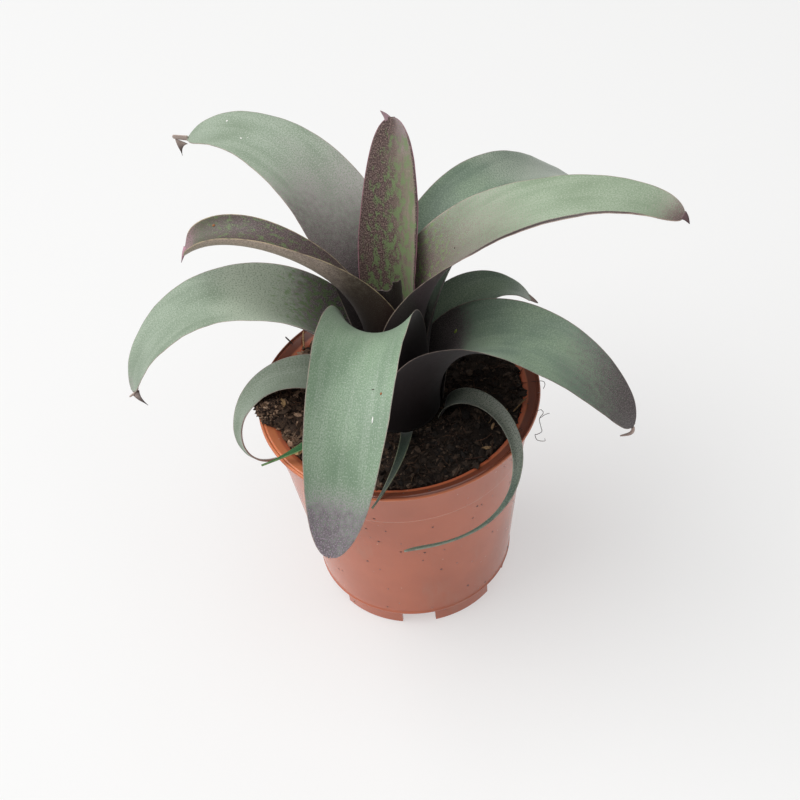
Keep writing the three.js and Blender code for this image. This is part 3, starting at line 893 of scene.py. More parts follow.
# Each strand: half thickness, tint, and points as distance from the axis, direction, height over TOP
STRANDS = [
    (0.34, 0.95, [(49.6, -20.7, -1.9), (51.8, -16.5, -1.0), (54.2, -12.3, -0.6)]),
    (0.42, 0.9, [(57.8, 131.8, 1.2), (55.0, 135.0, 0.3), (52.2, 138.2, -1.6)]),
    (0.35, 0.1, [(61.2, 139.7, 2.2), (59.1, 140.0, 1.4), (56.9, 140.3, 0.5)]),
    (0.15, 0.85, [(48.6, -152.0, -1.5), (50.4, -149.6, -0.3), (52.4, -147.0, -1.6)]),
    (0.13, 0.95, [(49.0, -147.0, -1.5), (50.6, -150.4, -0.1), (51.6, -153.0, -1.5)]),
    (0.12, 0.8, [(51.8, -150.5, -1.4), (49.9, -148.6, 0.1), (48.2, -147.6, -1.6)]),
    (0.3, 0.35, [(47.0, -60.0, -1.7), (49.5, -57.0, -1.2), (51.4, -52.0, -1.8)]),
    (0.24, 0.5, [(43.0, -48.0, -1.6), (45.6, -44.0, -1.0), (46.2, -38.0, -1.7)]),
    (0.2, 0.45, [(50.2, -35.0, -1.7), (47.6, -31.0, -1.1), (45.2, -29.0, -1.8)]),
]

# The tuft of roots outside the lip, as x, y about the axis and height over TOP
ROOT_HAIRS = [
    [(53.6, -19.6, -1.8), (57.2, -20.4, 0.5), (58.0, -20.7, 0.5), (58.4, -22.4, 0.4), (56.4, -25.5, 0.5),
     (56.4, -29.7, 0.2), (56.4, -32.2, 0.0), (54.4, -33.5, 0.1), (53.4, -33.8, 0.2), (53.9, -36.7, 0.1),
     (56.9, -37.2, -0.4), (57.1, -35.2, -0.8)],
    [(56.6, -25.0, 0.4), (59.0, -23.2, 0.2), (61.2, -22.0, -0.4)],
    [(56.0, -3.4, 0.4), (60.7, -3.8, 0.3), (61.6, -5.2, -0.4), (60.5, -7.2, -1.2)],
]


def tube_along(knots, girth, steps=8, sides=5):
    """A closed tube of one girth. Between the knots it follows the cubic that passes through them with
    slopes taken from their neighbours."""
    knots = np.asarray(knots, float)
    slope = np.gradient(knots, axis=0)
    s = np.linspace(0, len(knots) - 1, steps * (len(knots) - 1) + 1)
    i = np.minimum(s.astype(int), len(knots) - 2)
    f = (s - i)[:, None]
    path = (knots[i] * (1 + 2 * f) * (1 - f) ** 2 + slope[i] * f * (1 - f) ** 2
            + knots[i + 1] * f ** 2 * (3 - 2 * f) + slope[i + 1] * f ** 2 * (f - 1))
    way = np.gradient(path, axis=0)
    way /= np.linalg.norm(way, axis=1, keepdims=True)
    across = np.cross(way, [0.21, 0.13, 0.97])
    across /= np.linalg.norm(across, axis=1, keepdims=True)
    third = np.cross(way, across)
    turn = (np.arange(sides) * 2 * np.pi / sides)[:, None]
    end = np.linspace(-1, 1, len(path))[:, None, None]
    ring = across[:, None] * np.cos(turn) + third[:, None] * np.sin(turn)
    points = path[:, None] + girth * np.sqrt(1.04 - end ** 8) * ring
    return points.reshape(-1, 3), [face for part in tube_faces(len(path), sides) for face in part.tolist()]


def polar(radius, degrees, height):
    """Points from their distance and direction from the pot's axis, and their height."""
    angle = np.radians(degrees)
    return np.stack([radius * np.cos(angle), radius * np.sin(angle), height + 0 * angle], -1)


def join_tubes(tubes):
    """Several tubes as one set of points, faces and tints."""
    points, faces, tints = [], [], []
    for knots, girth, tint in tubes:
        more, more_faces = tube_along(knots, girth)
        start = sum(map(len, points))
        faces += [[corner + start for corner in face] for face in more_faces]
        points.append(more)
        tints.append(np.full(len(more), tint))
    return np.concatenate(points), faces, np.concatenate(tints)


def lay_chips():
    """One lump at each place, with its own size, turn and tint."""
    radius, degrees, height, half, turn, tint = (np.array(column) for column in zip(*CHIP_PLACES))
    shape, faces = lump_shape()
    count = len(radius)
    rng = np.random.default_rng(21)
    pushed = shape * rng.uniform(0.72, 1.25, (count, len(shape), 1)) * half[:, None, :]
    frames = turned_frames(np.radians(turn), rng.normal(0, CHIP_TILT, count), rng.normal(0, CHIP_TILT, count))
    points = np.einsum("nij,nkj->nki", frames, pushed) + polar(radius, degrees, BED + height)[:, None]
    return make_piece("bark_chunks", points.reshape(-1, 3), copied(faces, len(shape), count).tolist(),
                      bpy.data.materials["bark_chip"],
                      values={"tint": np.repeat(tint, len(shape))}, sharp=30)


def lay_tubes(name, tubes):
    """A piece of soil litter from points, girth and tint of each of its tubes."""
    points, faces, tints = join_tubes(tubes)
    return make_piece(name, points, faces, bpy.data.materials["peat_fibre"],
                      values={"tint": tints})


def lay_single_bits():
    """The chips, the strands and the tuft, one piece each."""
    strands = [(polar(*np.array(knots).T[:2], TOP + np.array(knots)[:, 2]), girth, tint)
               for girth, tint, knots in STRANDS]
    hairs = [(np.array(knots) + (0, 0, TOP), ROOT_GIRTH, ROOT_TINT) for knots in ROOT_HAIRS]
    return lay_chips(), lay_tubes("twigs_and_stalk", strands), lay_tubes("root_hairs", hairs)


for bits in lay_single_bits():
    print(bits.name, len(bits.data.polygons), "faces")

# %% [markdown]
# ## The leaves
#
# A bromeliad's leaf is one blade with no raised rib; its middle line is called the midrib here. It
# wraps the stem as a sheath, opens into a shallow channel, arches out and ends in a small hard claw.
# So one function of two parameters draws them all: t runs from base to tip and u from one margin to
# the other.
#
# Four stations, at the base, a third, two thirds and the end, give the midrib's rise above level,
# its compass direction, its twist and the blade's half width, and a cubic runs through the four.
# These are the values of the solid leaves, so each fine leaf lies where its solid does.

# %% Leaf sizes
LEAF_BASE = TOP - 6.5
LEAF_THICKNESS = 0.7
CLAW_ROOT = 1.5
THIN_END = 0.45
STATIONS = 241

# Each leaf: name, sheath radius, length, bluntness, half width at the end, then at the stations its
# turn, rise, twist from the second on, half width, and channel from the second on
LEAF_SIZES = [
    ("leaf_torn", 5.7, 74, 13, THIN_END,
     [-75, -75, -75, -75], [90, 90, 89, 88], [0, 0, 0], [11, 11, 11, 10.5], [110, 110, 105]),
    ("leaf_upright", 8, 125, 11, CLAW_ROOT,
     [81, 77, 73, 84], [87, 82, 66, 60], [-1, -4, -4], [12.5, 15, 13, 9.5], [89, 34, 32]),
    ("leaf_mid_left", 9.3, 146, 14, CLAW_ROOT,
     [199, 187, 162, 157], [89, 79, 26, -40], [29, 28, -25], [18.5, 16.5, 14, 11.5], [88, 59, 105]),
    ("leaf_right", 10.6, 184, 11, CLAW_ROOT,
     [2, -11, -10, -24], [90, 71, 24, -25], [2, 6, 9], [20, 22.5, 13.5, 11.5], [84, 6, 51]),
    ("leaf_back_left", 11.9, 168, 7.5, CLAW_ROOT,
     [113, 119, 135, 160], [84, 68, 25, -36], [-1, -4, -12], [21, 20.5, 16.5, 11.5], [67, 7, 26]),
    ("leaf_back_right", 13.2, 180, 8, CLAW_ROOT,
     [56, 43, 37, 29], [86, 47, -20, -47], [-1, -4, -12], [20.5, 19, 16.5, 12], [64, 29, 20]),
    ("leaf_front", 14.5, 176, 7, THIN_END,
     [-107, -105, -105, -118], [90, 60, -23, -45], [2, -9, -16], [22, 21, 17.5, 15], [68, 39, 18]),
    ("leaf_low_left", 15.8, 155, 8, CLAW_ROOT,
     [173, 176, 183, 202], [85, 51, -17, -74], [0, -3, -4], [23.5, 20, 15.5, 10], [57, 16, 24]),
    ("leaf_low_right", 17.1, 134, 7.5, CLAW_ROOT,
     [-31, -32, -37, -27], [90, 48, -5, -67], [-4, -4, 10], [27, 23.5, 17, 11.5], [72, 26, 26]),
    ("leaf_small_right", 18.4, 82, 7.5, CLAW_ROOT,
     [30, 31, 24, 12], [88, 61, -5, -56], [7, 9, 6], [11, 14, 9.5, 7.5], [43, 30, 28]),
    ("leaf_curl_left", 18.6, 110, 7.5, THIN_END,
     [170, 180, 205, 224], [75, -12, -82, -155], [-4, -4, -19], [11.5, 9, 4, 2], [32, 37, 26]),
    ("leaf_thin_left", 18.6, 54, 7.5, THIN_END,
     [-139, -148, -155, -167], [51, 15, -2, -5], [2, 2, 8], [3.5, 4, 2, 0.5], [35, 31, 25]),
    ("leaf_thin_front", 18.6, 53, 8, THIN_END,
     [-86, -101, -118, -147], [52, 19, -9, -35], [1, 2, -2], [2.5, 2.5, 1.5, 0.6], [51, 43, 41]),
    ("leaf_curl_right", 19.6, 126, 8, THIN_END,
     [-23, -71, -145, -212], [70, -12, -14, -40], [7, 5, -2], [6, 3.5, 1, 2], [60, 20, 29]),
]
SIZE_NAMES = ("sheath", "length", "blunt", "end", "turn", "rise", "twist", "half", "channel")
LEAVES = {name: dict(zip(SIZE_NAMES, sizes)) for name, *sizes in LEAF_SIZES}
print("leaves:", {name: leaf["length"] for name, leaf in LEAVES.items()})

# %% [markdown]
# ## One blade as a surface
#
# At each station the section is an arc. Near the base it lies on the sheath's circle, and further
# out it flattens. The midrib is found by adding up short steps along its heading. The blade's two
# faces meet in a thin round margin, because the thickness falls to nothing there as a root.

# %% Leaf surface
def cubic_through(values, t):
    """The cubic through four values that stand at t = 0, 1/3, 2/3 and 1: the sum of each value times the
    product that is 1 at its own place and 0 at the other three."""
    total = 0 * t
    for i, value in enumerate(values):
        others = [j for j in range(4) if j != i]
        weight = np.prod([(3 * t - j) / (i - j) for j in others], axis=0)
        total = total + value * weight
    return total


def midrib(leaf, t):
    """The midrib's place at t: steps of equal length along the heading, added up from the sheath."""
    knots = np.linspace(0, 1, STATIONS)
    middle = (knots[1:] + knots[:-1]) / 2
    way = heading(cubic_through(leaf["rise"], middle), cubic_through(leaf["turn"], middle))
    foot = np.radians(leaf["turn"][0])
    start = np.array([leaf["sheath"] * np.cos(foot), leaf["sheath"] * np.sin(foot), LEAF_BASE])
    line = start + np.concatenate([np.zeros((1, 3)), np.cumsum(way, 0)]) * leaf["length"] / (STATIONS - 1)
    return np.stack([np.interp(t, knots, line[:, axis]) for axis in range(3)], -1)


def blade_frame(leaf, t):
    """Along, side and normal at t. The side starts level and turns about the midrib by the twist."""
    rise, turn = cubic_through(leaf["rise"], t), cubic_through(leaf["turn"], t)
    twist = np.radians(cubic_through([0, *leaf["twist"]], t))[..., None]
    along = heading(rise, turn)
    level = np.stack([-np.sin(np.radians(turn)), np.cos(np.radians(turn)), 0 * turn], -1)
    upright = np.cross(along, level)
    side = level * np.cos(twist) + upright * np.sin(twist)
    return along, side, np.cross(along, side)


def half_width(leaf, t):
    """The cubic half width, rounded off at the end by the root of 1 - t^blunt."""
    taper = np.sqrt(np.maximum(1 - t ** leaf["blunt"], 0))
    return np.maximum(cubic_through(leaf["half"], t) * taper, leaf["end"])


def blade_surface(leaf, t, u, lift):
    """The point at t and u, lifted off the middle of the blade. The section is an arc of radius half
    width over channel angle; u times the half width is measured along it."""
    _, side, normal = blade_frame(leaf, t)
    wrap = math.degrees(leaf["half"][0] / leaf["sheath"])
    radius = cubic_through(leaf["half"], t) / np.radians(cubic_through([wrap, *leaf["channel"]], t))
    angle = u * half_width(leaf, t) / radius
    reach = (radius - lift)[..., None]
    out = reach * np.sin(angle)[..., None] * side
    up = (radius[..., None] - reach * np.cos(angle)[..., None]) * normal
    return midrib(leaf, t) + out + up


print("the base of the front leaf's midrib:", midrib(LEAVES["leaf_front"], np.array([0.0])).round(1))

# %% [markdown]
# ## Torn ends, wavy margins and claws
#
# No real margin is a clean curve. A slow wave runs along each, stronger towards the outside. Two
# leaves have lost their points: the innermost is torn off short, and the front one ends in a ragged
# scrap. On these the end row is cut back by an uneven amount in millimetres.
#
# The others end in claws: dry horns, flat at the root and sharp at the point. Two of them have an
# ear beside the claw, where the dried tip has folded over. A horn is its own small surface, sunk in
# the blade's end.

# %% Leaf ends
# Across the blade from u = -1 to 1: how far the end is cut back, in millimetres
TORN_ENDS = {
    "leaf_torn": [6, 5, 4.4, 4, 4.3, 3.6, 1.2, 0.2, 1.6, 2.2, 5],
    "leaf_front": [1, 0.6, 0.2, 0.9, 0.1, 0, 0.8, 0.2, 0.5, 0.9, 1.2],
}

# Each horn: leaf, where its root is off the blade's end (mm), rise and turn of its path at root and
# point, length, half width and half thickness at the root, how hollow its taper is, the rise and
# turn of its wide side, and its tone from pale to dark
HORN_NAMES = ("leaf", "root", "start", "point", "length", "wide", "thick", "hollow", "side", "tone")
HORNS = [dict(zip(HORN_NAMES, sizes)) for sizes in [
    ("leaf_back_left", (0, 0, 0.2), (2, 165), (9, 171), 6.8, 2.0, 0.5, 0.12, (60, -60), (0.0, 0.0)),
    ("leaf_back_left", (-3.1, 0.7, -1.6), (-60, 200), (-62, -80), 6.2, 2.9, 0.5, 2.0, (9, 171), (0.35, 1.0)),
    ("leaf_low_left", (2.0, 0, 1), (-60, 230), (-18, 205), 5.0, 1.3, 0.5, 0.3, (50, -100), (0.0, 0.2)),
    ("leaf_low_left", (1.2, -0.6, -0.6), (-22, -70), (-18, -42), 8, 1.9, 0.55, 1.6, (40, 50), (0.4, 1.0)),
    ("leaf_low_right", (0, 0, -0.5), (-70, -60), (-3, 184), 7.4, 1.5, 0.5, 0.55, (20, -80), (0.1, 0.3)),
    ("leaf_right", (-0.6, 0, 0.9), (-30, -30), (-40, -60), 4.2, 2.0, 0.6, 1.0, (30, 60), (0.55, 0.7)),
    ("leaf_mid_left", (0.6, 0, 0.8), (-50, 200), (-42, -118), 6.2, 1.4, 0.55, 1.3, (20, 130), (0.1, 0.6)),
    ("leaf_upright", (-1.2, -0.2, -1.0), (60, 135), (44, 155), 4.8, 1.5, 0.5, 0.9, (10, 20), (0.1, 0.4)),
    ("leaf_small_right", (-0.6, 0, 0.6), (-40, -5), (-26, -32), 4.8, 1.5, 0.5, 0.7, (10, 60), (0.3, 0.55)),
    ("leaf_back_right", (0, 0, 0.5), (-50, 30), (-80, 60), 7, 1.4, 0.5, 1.2, (10, 120), (0.4, 0.9)),
]]


# Each wave of the margins: height in mm, mm of leaf per radian, and its share of the phase
EDGE_WAVES = [(0.22, 6.3, 1), (0.1, 3.1, 2), (0.04, 1.3, 1)]
HORN_BEND = 0.6
HORN_POINT = 0.1


def edge_wave(leaf, name, t, u):
    """The lift of the margins: slow sines of unlike lengths along the blade, times u^4, so that the
    middle stays still, and nothing in the sheath. Both margins and all leaves have their own phase."""
    phase = (sum(map(ord, name)) % 17) + 2.0 * (u > 0)
    s = t * leaf["length"]
    wave = sum(high * np.sin(s / long + share * phase) for high, long, share in EDGE_WAVES)
    return wave * u ** 4 * np.clip((t - 0.25) * 4, 0, 1) * min(1.0, max(leaf["half"]) / 12)


def blade_grid(name, rows, across):
    """Closed sections from base to end: the upper face from u = -1 to 1, then the lower face back. The
    thickness at u is the root of 1 - u^6, and the columns crowd towards the margins."""
    leaf = LEAVES[name]
    even = np.linspace(-1, 1, across + 1)
    upper = even * (1.5 - 0.5 * even ** 2)
    u = np.concatenate([upper, upper[-2:0:-1]])[None, :]
    face = np.concatenate([np.ones(across + 1), -np.ones(across - 1)])[None, :]
    t = (1 - (1 - np.arange(rows + 1) / rows) ** 1.5)[:, None]
    cut = TORN_ENDS.get(name, [0, 0])
    ragged = np.interp(u, np.linspace(-1, 1, len(cut)), cut)
    if len(cut) > 2:
        ragged = ragged + 0.35 * np.sin(23 * u) * np.cos(9 * u + 1)
    t = t * (1 - ragged / leaf["length"])
    u = u + 0 * t
    lift = face * LEAF_THICKNESS / 2 * np.sqrt(np.maximum(1 - np.abs(u) ** 6, 0))
    lift = lift + edge_wave(leaf, name, t, u)
    points = blade_surface(leaf, t, u, lift)
    wide = half_width(leaf, t)
    under = np.where(np.abs(u) > 0.999, 0.5, (1 - face) / 2)
    values = dict(along=t, across=u, rim=(1 - np.abs(u)) * wide, under=under)
    uv = np.stack([u * wide, t * leaf["length"]], -1)
    return points, uv, values


def blade_faces(rows, across):
    """The grid's quads, and both ends closed by strips between the two faces."""
    columns = 2 * across
    quads = grid_faces(rows + 1, columns, closed=True)
    j = np.arange(1, across - 1)
    strip = np.stack([j, j + 1, columns - j - 1, columns - j], -1)
    tips = np.array([[0, 1, columns - 1], [across - 1, across, across + 1]])
    far = rows * columns
    faces = [quads, strip, strip[:, ::-1] + far]
    return [f for block in faces for f in block.tolist()] + tips.tolist() + (tips[:, ::-1] + far).tolist()


def horn_surface(horn, rows=16, sides=14):
    """A flat horn along a bending path. Its width falls from the root by (1 - s)^p with p from its
    hollow, and its section is an ellipse across the path."""
    leaf = LEAVES[horn["leaf"]]
    end = midrib(leaf, np.array([1.0]))[0] + np.array(horn["root"])
    s = np.linspace(0, 1, rows + 1)
    first, last = heading(*map(np.array, horn["start"])), heading(*map(np.array, horn["point"]))
    blend = np.minimum(s / HORN_BEND, 1)[:, None]
    way = first * (1 - blend) + last * blend
    way /= np.linalg.norm(way, axis=1, keepdims=True)
    middle = (way[1:] + way[:-1]) / 2
    path = end + np.concatenate([np.zeros((1, 3)), np.cumsum(middle, 0)]) * horn["length"] / rows
    wide_way = heading(*map(np.array, horn["side"]))
    side = wide_way - (way @ wide_way)[:, None] * way
    side /= np.linalg.norm(side, axis=1, keepdims=True)
    flat = np.cross(way, side)
    shrink = (1 - s) ** horn["hollow"]
    turn = np.arange(sides) * 2 * np.pi / sides
    wide = (HORN_POINT + (horn["wide"] - HORN_POINT) * shrink)[:, None, None]
    thick = (HORN_POINT + (horn["thick"] - HORN_POINT) * shrink ** 0.5)[:, None, None]
    ring = wide * np.cos(turn)[:, None] * side[:, None] + thick * np.sin(turn)[:, None] * flat[:, None]
    points = path[:, None] + ring
    faces = [face for part in tube_faces(rows + 1, sides) for face in part.tolist()]
    tone = horn["tone"][0] + (horn["tone"][1] - horn["tone"][0]) * s
    return points.reshape(-1, 3), faces, np.repeat(tone, sides), np.repeat(s * horn["length"], sides)


# %% [markdown]
# ## How a leaf is coloured
#
# The colour has a few layers, and each leaf only changes how much of each it has:
#
# 1. grey-green flesh, with broad clouds, faint lengthwise bands and a fine darker grain;
# 2. a mauve-grey bloom that lies on the flesh here and there;
# 3. a maroon stain, which fades out along the leaf in fine specks, and painted shade, nearly black, at the
#    sheath in the heart of the rosette;
# 4. on some leaves, patches of clear green left open in the stain;
# 5. scurf: tiny pale scales that dull the surface;
# 6. a thin margin, tan or brown, and a darker underside, with painted shade towards the sheath.
#
# Where a layer lies along the leaf is a smooth value stored in the mesh. Its grain comes from noise
# on the blade's own uv map, which is in millimetres, so it follows the leaf round its bends. The
# finest grain is about a third of a millimetre, the size of the scales on the real leaf.

# %% Leaf finish
LOOK_PARTS = "flesh shade light bloom stain spot patch rim under under_dark claw".split()
LOOKS = {
    "green": "9aa896 7f8f7a b0bbab a4979a 5b4d4f 908285 6e8f58 a8968a 8a8078 282325 b8a69c",
    # The lower look's bloom is a pale green that is in part painted light, for the low left leaf where the
    # leaf above shades it.
    "lower": "95a491 7a8b76 acb8a6 b7c3b0 6a5c5f a39899 6e8f58 a8968a 8a8078 282325 b8a69c",
    "front": "8ca389 738b72 a7b4a4 9c9398 62565f 988d96 6e8f58 a8968a 8a8078 282325 b8a69c",
    "rosy": "98a890 82947a aab6a1 a39c92 645250 8a7a73 79a052 b6a093 8a7d72 3d2c34 96767a",
    "dark": "7e9279 647767 93a490 a9afa3 4d4546 6f6767 5d7a52 8d7c72 605955 2e2a2c a8948b",
    "bronze": "656a52 525a45 777b61 a07c88 4a3a3c 6d5c5a 64804a c3b08c b3a191 3f2c28 b58796",
    "maroon": "948b7a 7d7664 a89f8e 94828a 4a3838 917a72 718a5a a0707c 6e5f57 2e2527 a88a92",
    "torn": "4a3b35 3b2f2b 5d4c44 4d3d3a 3c2e2b 5a4741 5a6a3c b58d8d 4d3d38 261d1f a8948b",
    "deep": "2c3a2f 202b23 445347 6a6862 2c2626 443a39 4f7148 747a62 5a5650 2c2828 a8948b",
    "curl": "4f6353 34463a 728274 8b8c82 2c2626 443a39 4f7148 8f9282 5a5650 2c2828 a8948b",
    "vivid": "34683a 27542e 4c7a48 557a4c 3a4a30 4f6440 4f8a45 7d9a5c 4a6a40 34482f a8948b",
}
SCURF = "c9cabf"
# A near black laid at the leaf bases: partly the dark sheath, partly painted shade in the heart of the
# rosette
SHEATH_AND_SHADE = "1c1315"


# Each grain: its repeats per millimetre across, along and through, its detail and its roughness
GRAINS = {
    "fine": (2.1, 1.5, 1.0, 2, 0.6), "finer": (3.4, 2.6, 2.0, 1, 0.6),
    "streak": (2.2, 0.1, 1.0, 2, 0.55), "mottle": (0.5, 0.28, 1.0, 4, 0.62),
    "band": (0.26, 0.012, 1.0, 3, 0.6), "cloud": (0.06, 0.03, 1.0, 2, 0.5),
}


def flesh_layer(f, look, grain):
    """The grey-green flesh, and the bloom that lies on it here and there."""
    fine, cloud = grain["fine"], grain["cloud"]
    flesh = f.plus(cloud, f.sway(grain["mottle"], 0.15))
    flesh = f.mix(look["shade"], look["flesh"], f.step(flesh, 0.34, 0.6))
    flesh = f.lay(flesh, look["light"], f.step(grain["band"], 0.42, 0.66), 0.35)
    flesh = f.lay(flesh, look["shade"], f.step(grain["streak"], 0.52, 0.34), 0.4)
    clouded = f.plus(f.attribute("bloom"), f.plus(f.sway(cloud, 0.7), f.sway(fine, 0.5)))
    flesh = f.lay(flesh, look["bloom"], f.step(clouded, 0.3, 0.8), 0.85)
    flesh = f.lay(flesh, look["shade"], f.step(fine, 0.52, 0.38), 0.8)
    return f.lay(flesh, look["light"], f.step(fine, 0.54, 0.66), 0.7)


def open_patches(f, blade, grain, spread):
    """Where the stain leaves clear green open, in patches that grow with the spread."""
    patches = f.noise(f.scaled(blade, 0.62 / spread, 0.34 / spread), detail=3, rough=0.62, warp=0.3)
    return f.step(f.plus(f.plus(patches, f.sway(grain["fine"], 0.45)), f.attribute("patch")), 0.51, 0.65)


def lower_face(f, look, grain):
    """The underside, darker towards the sheath by painted shade."""
    dark = f.attribute("dark")
    # Painted shade: towards the sheath the underside turns to its dark colour, then near black
    towards = f.step(f.plus(dark, f.sway(grain["mottle"], 0.4)), 0.15, 0.75)
    lower = f.mix(look["under"], look["under_dark"], towards)
    lower = f.lay(lower, look["under_dark"], f.step(grain["fine"], 0.56, 0.4), 0.5)
    lower = f.lay(lower, paint(SCURF), f.step(grain["finer"], 0.56, 0.72), 0.16)
    return f.lay(lower, paint(SHEATH_AND_SHADE), f.step(dark, 0.9, 1.3), 0.85)


def margin_and_claw(f, look, grain, colour, rim):
    """A thin margin of its own colour, and dry horn wherever the claw's value is above nought."""
    claw = f.attribute("claw")
    edge = f.step(f.plus(f.attribute("rim"), f.sway(grain["fine"], 0.25)), rim + 0.1, rim - 0.14)
    edge_colour = f.mix(look["rim"], look["stain"], f.times(f.step(grain["mottle"], 0.45, 0.62), 0.6))
    horn = f.mix(look["claw"], paint("35292a"), f.step(claw, 1.1, 1.9))
    return f.mix(f.lay(colour, edge_colour, edge, 0.8), horn, f.step(claw, 0.3, 0.9))


def leaf_finish(look_name, scurf=0.22, patches=0.0, rim=0.3, dotted=0.3, sway=0.4, spread=1.0):
    """One leaf's material: how much scurf, open green and pale dots it has, how wide its margin is,
    how ragged the stain's edge and how large the open patches are."""
    look = {part: paint(code) for part, code in zip(LOOK_PARTS, LOOKS[look_name].split())}
    f = Finish("leaf_" + look_name)
    blade, stain = f.uv_map("blade"), f.attribute("stain")
    grain = {name: f.noise(f.scaled(blade, *often), detail=detail, rough=rough)
             for name, (*often, detail, rough) in GRAINS.items()}
    fine, finer, mottle, band = (grain[name] for name in ("fine", "finer", "mottle", "band"))

    broken = f.plus(f.plus(stain, f.sway(mottle, sway)), f.sway(fine, 1.25))
    stained = f.mix(look["stain"], look["spot"], f.step(fine, 0.44, 0.66))
    stained = f.lay(stained, paint("b3a9a4"), f.step(finer, 0.56, 0.7), dotted)
    upper = f.mix(flesh_layer(f, look, grain), stained, f.step(broken, 0.36, 0.7))
    if patches:
        upper = f.lay(upper, look["patch"], open_patches(f, blade, grain, spread), patches)
    upper = f.lay(upper, paint(SCURF), f.step(finer, 0.55, 0.72), scurf)
    # Painted shade: near black where the stain runs above 1, at the sheath in the heart of the rosette
    upper = f.lay(upper, paint(SHEATH_AND_SHADE), f.step(stain, 1.0, 1.35), 0.75)
    colour = f.mix(upper, lower_face(f, look, grain), f.step(f.attribute("under"), 0.45, 0.75))
    colour = margin_and_claw(f, look, grain, colour, rim)

    bump = f.relief(band, 0.06)
    bump = f.relief(mottle, 0.05, bump)
    bump = f.relief(fine, 0.03, bump)
    rough = f.plus(f.times(finer, 0.16), f.plus(f.times(band, 0.06), 0.38))
    f.set_skin(Base_Color=colour, Roughness=rough, Normal=bump)
    f.set_skin(Specular_IOR_Level=0.42, Sheen_Weight=0.1, Sheen_Roughness=0.4)
    return f.material

# %% [markdown]
# ## Where the stain lies
#
# Each leaf gives its stain and bloom as a run of pairs of t and amount, with a straight line between
# them. A tilt makes one margin darker than the other, and a strip stains one margin alone, over a
# given length. The order is from the inside out.

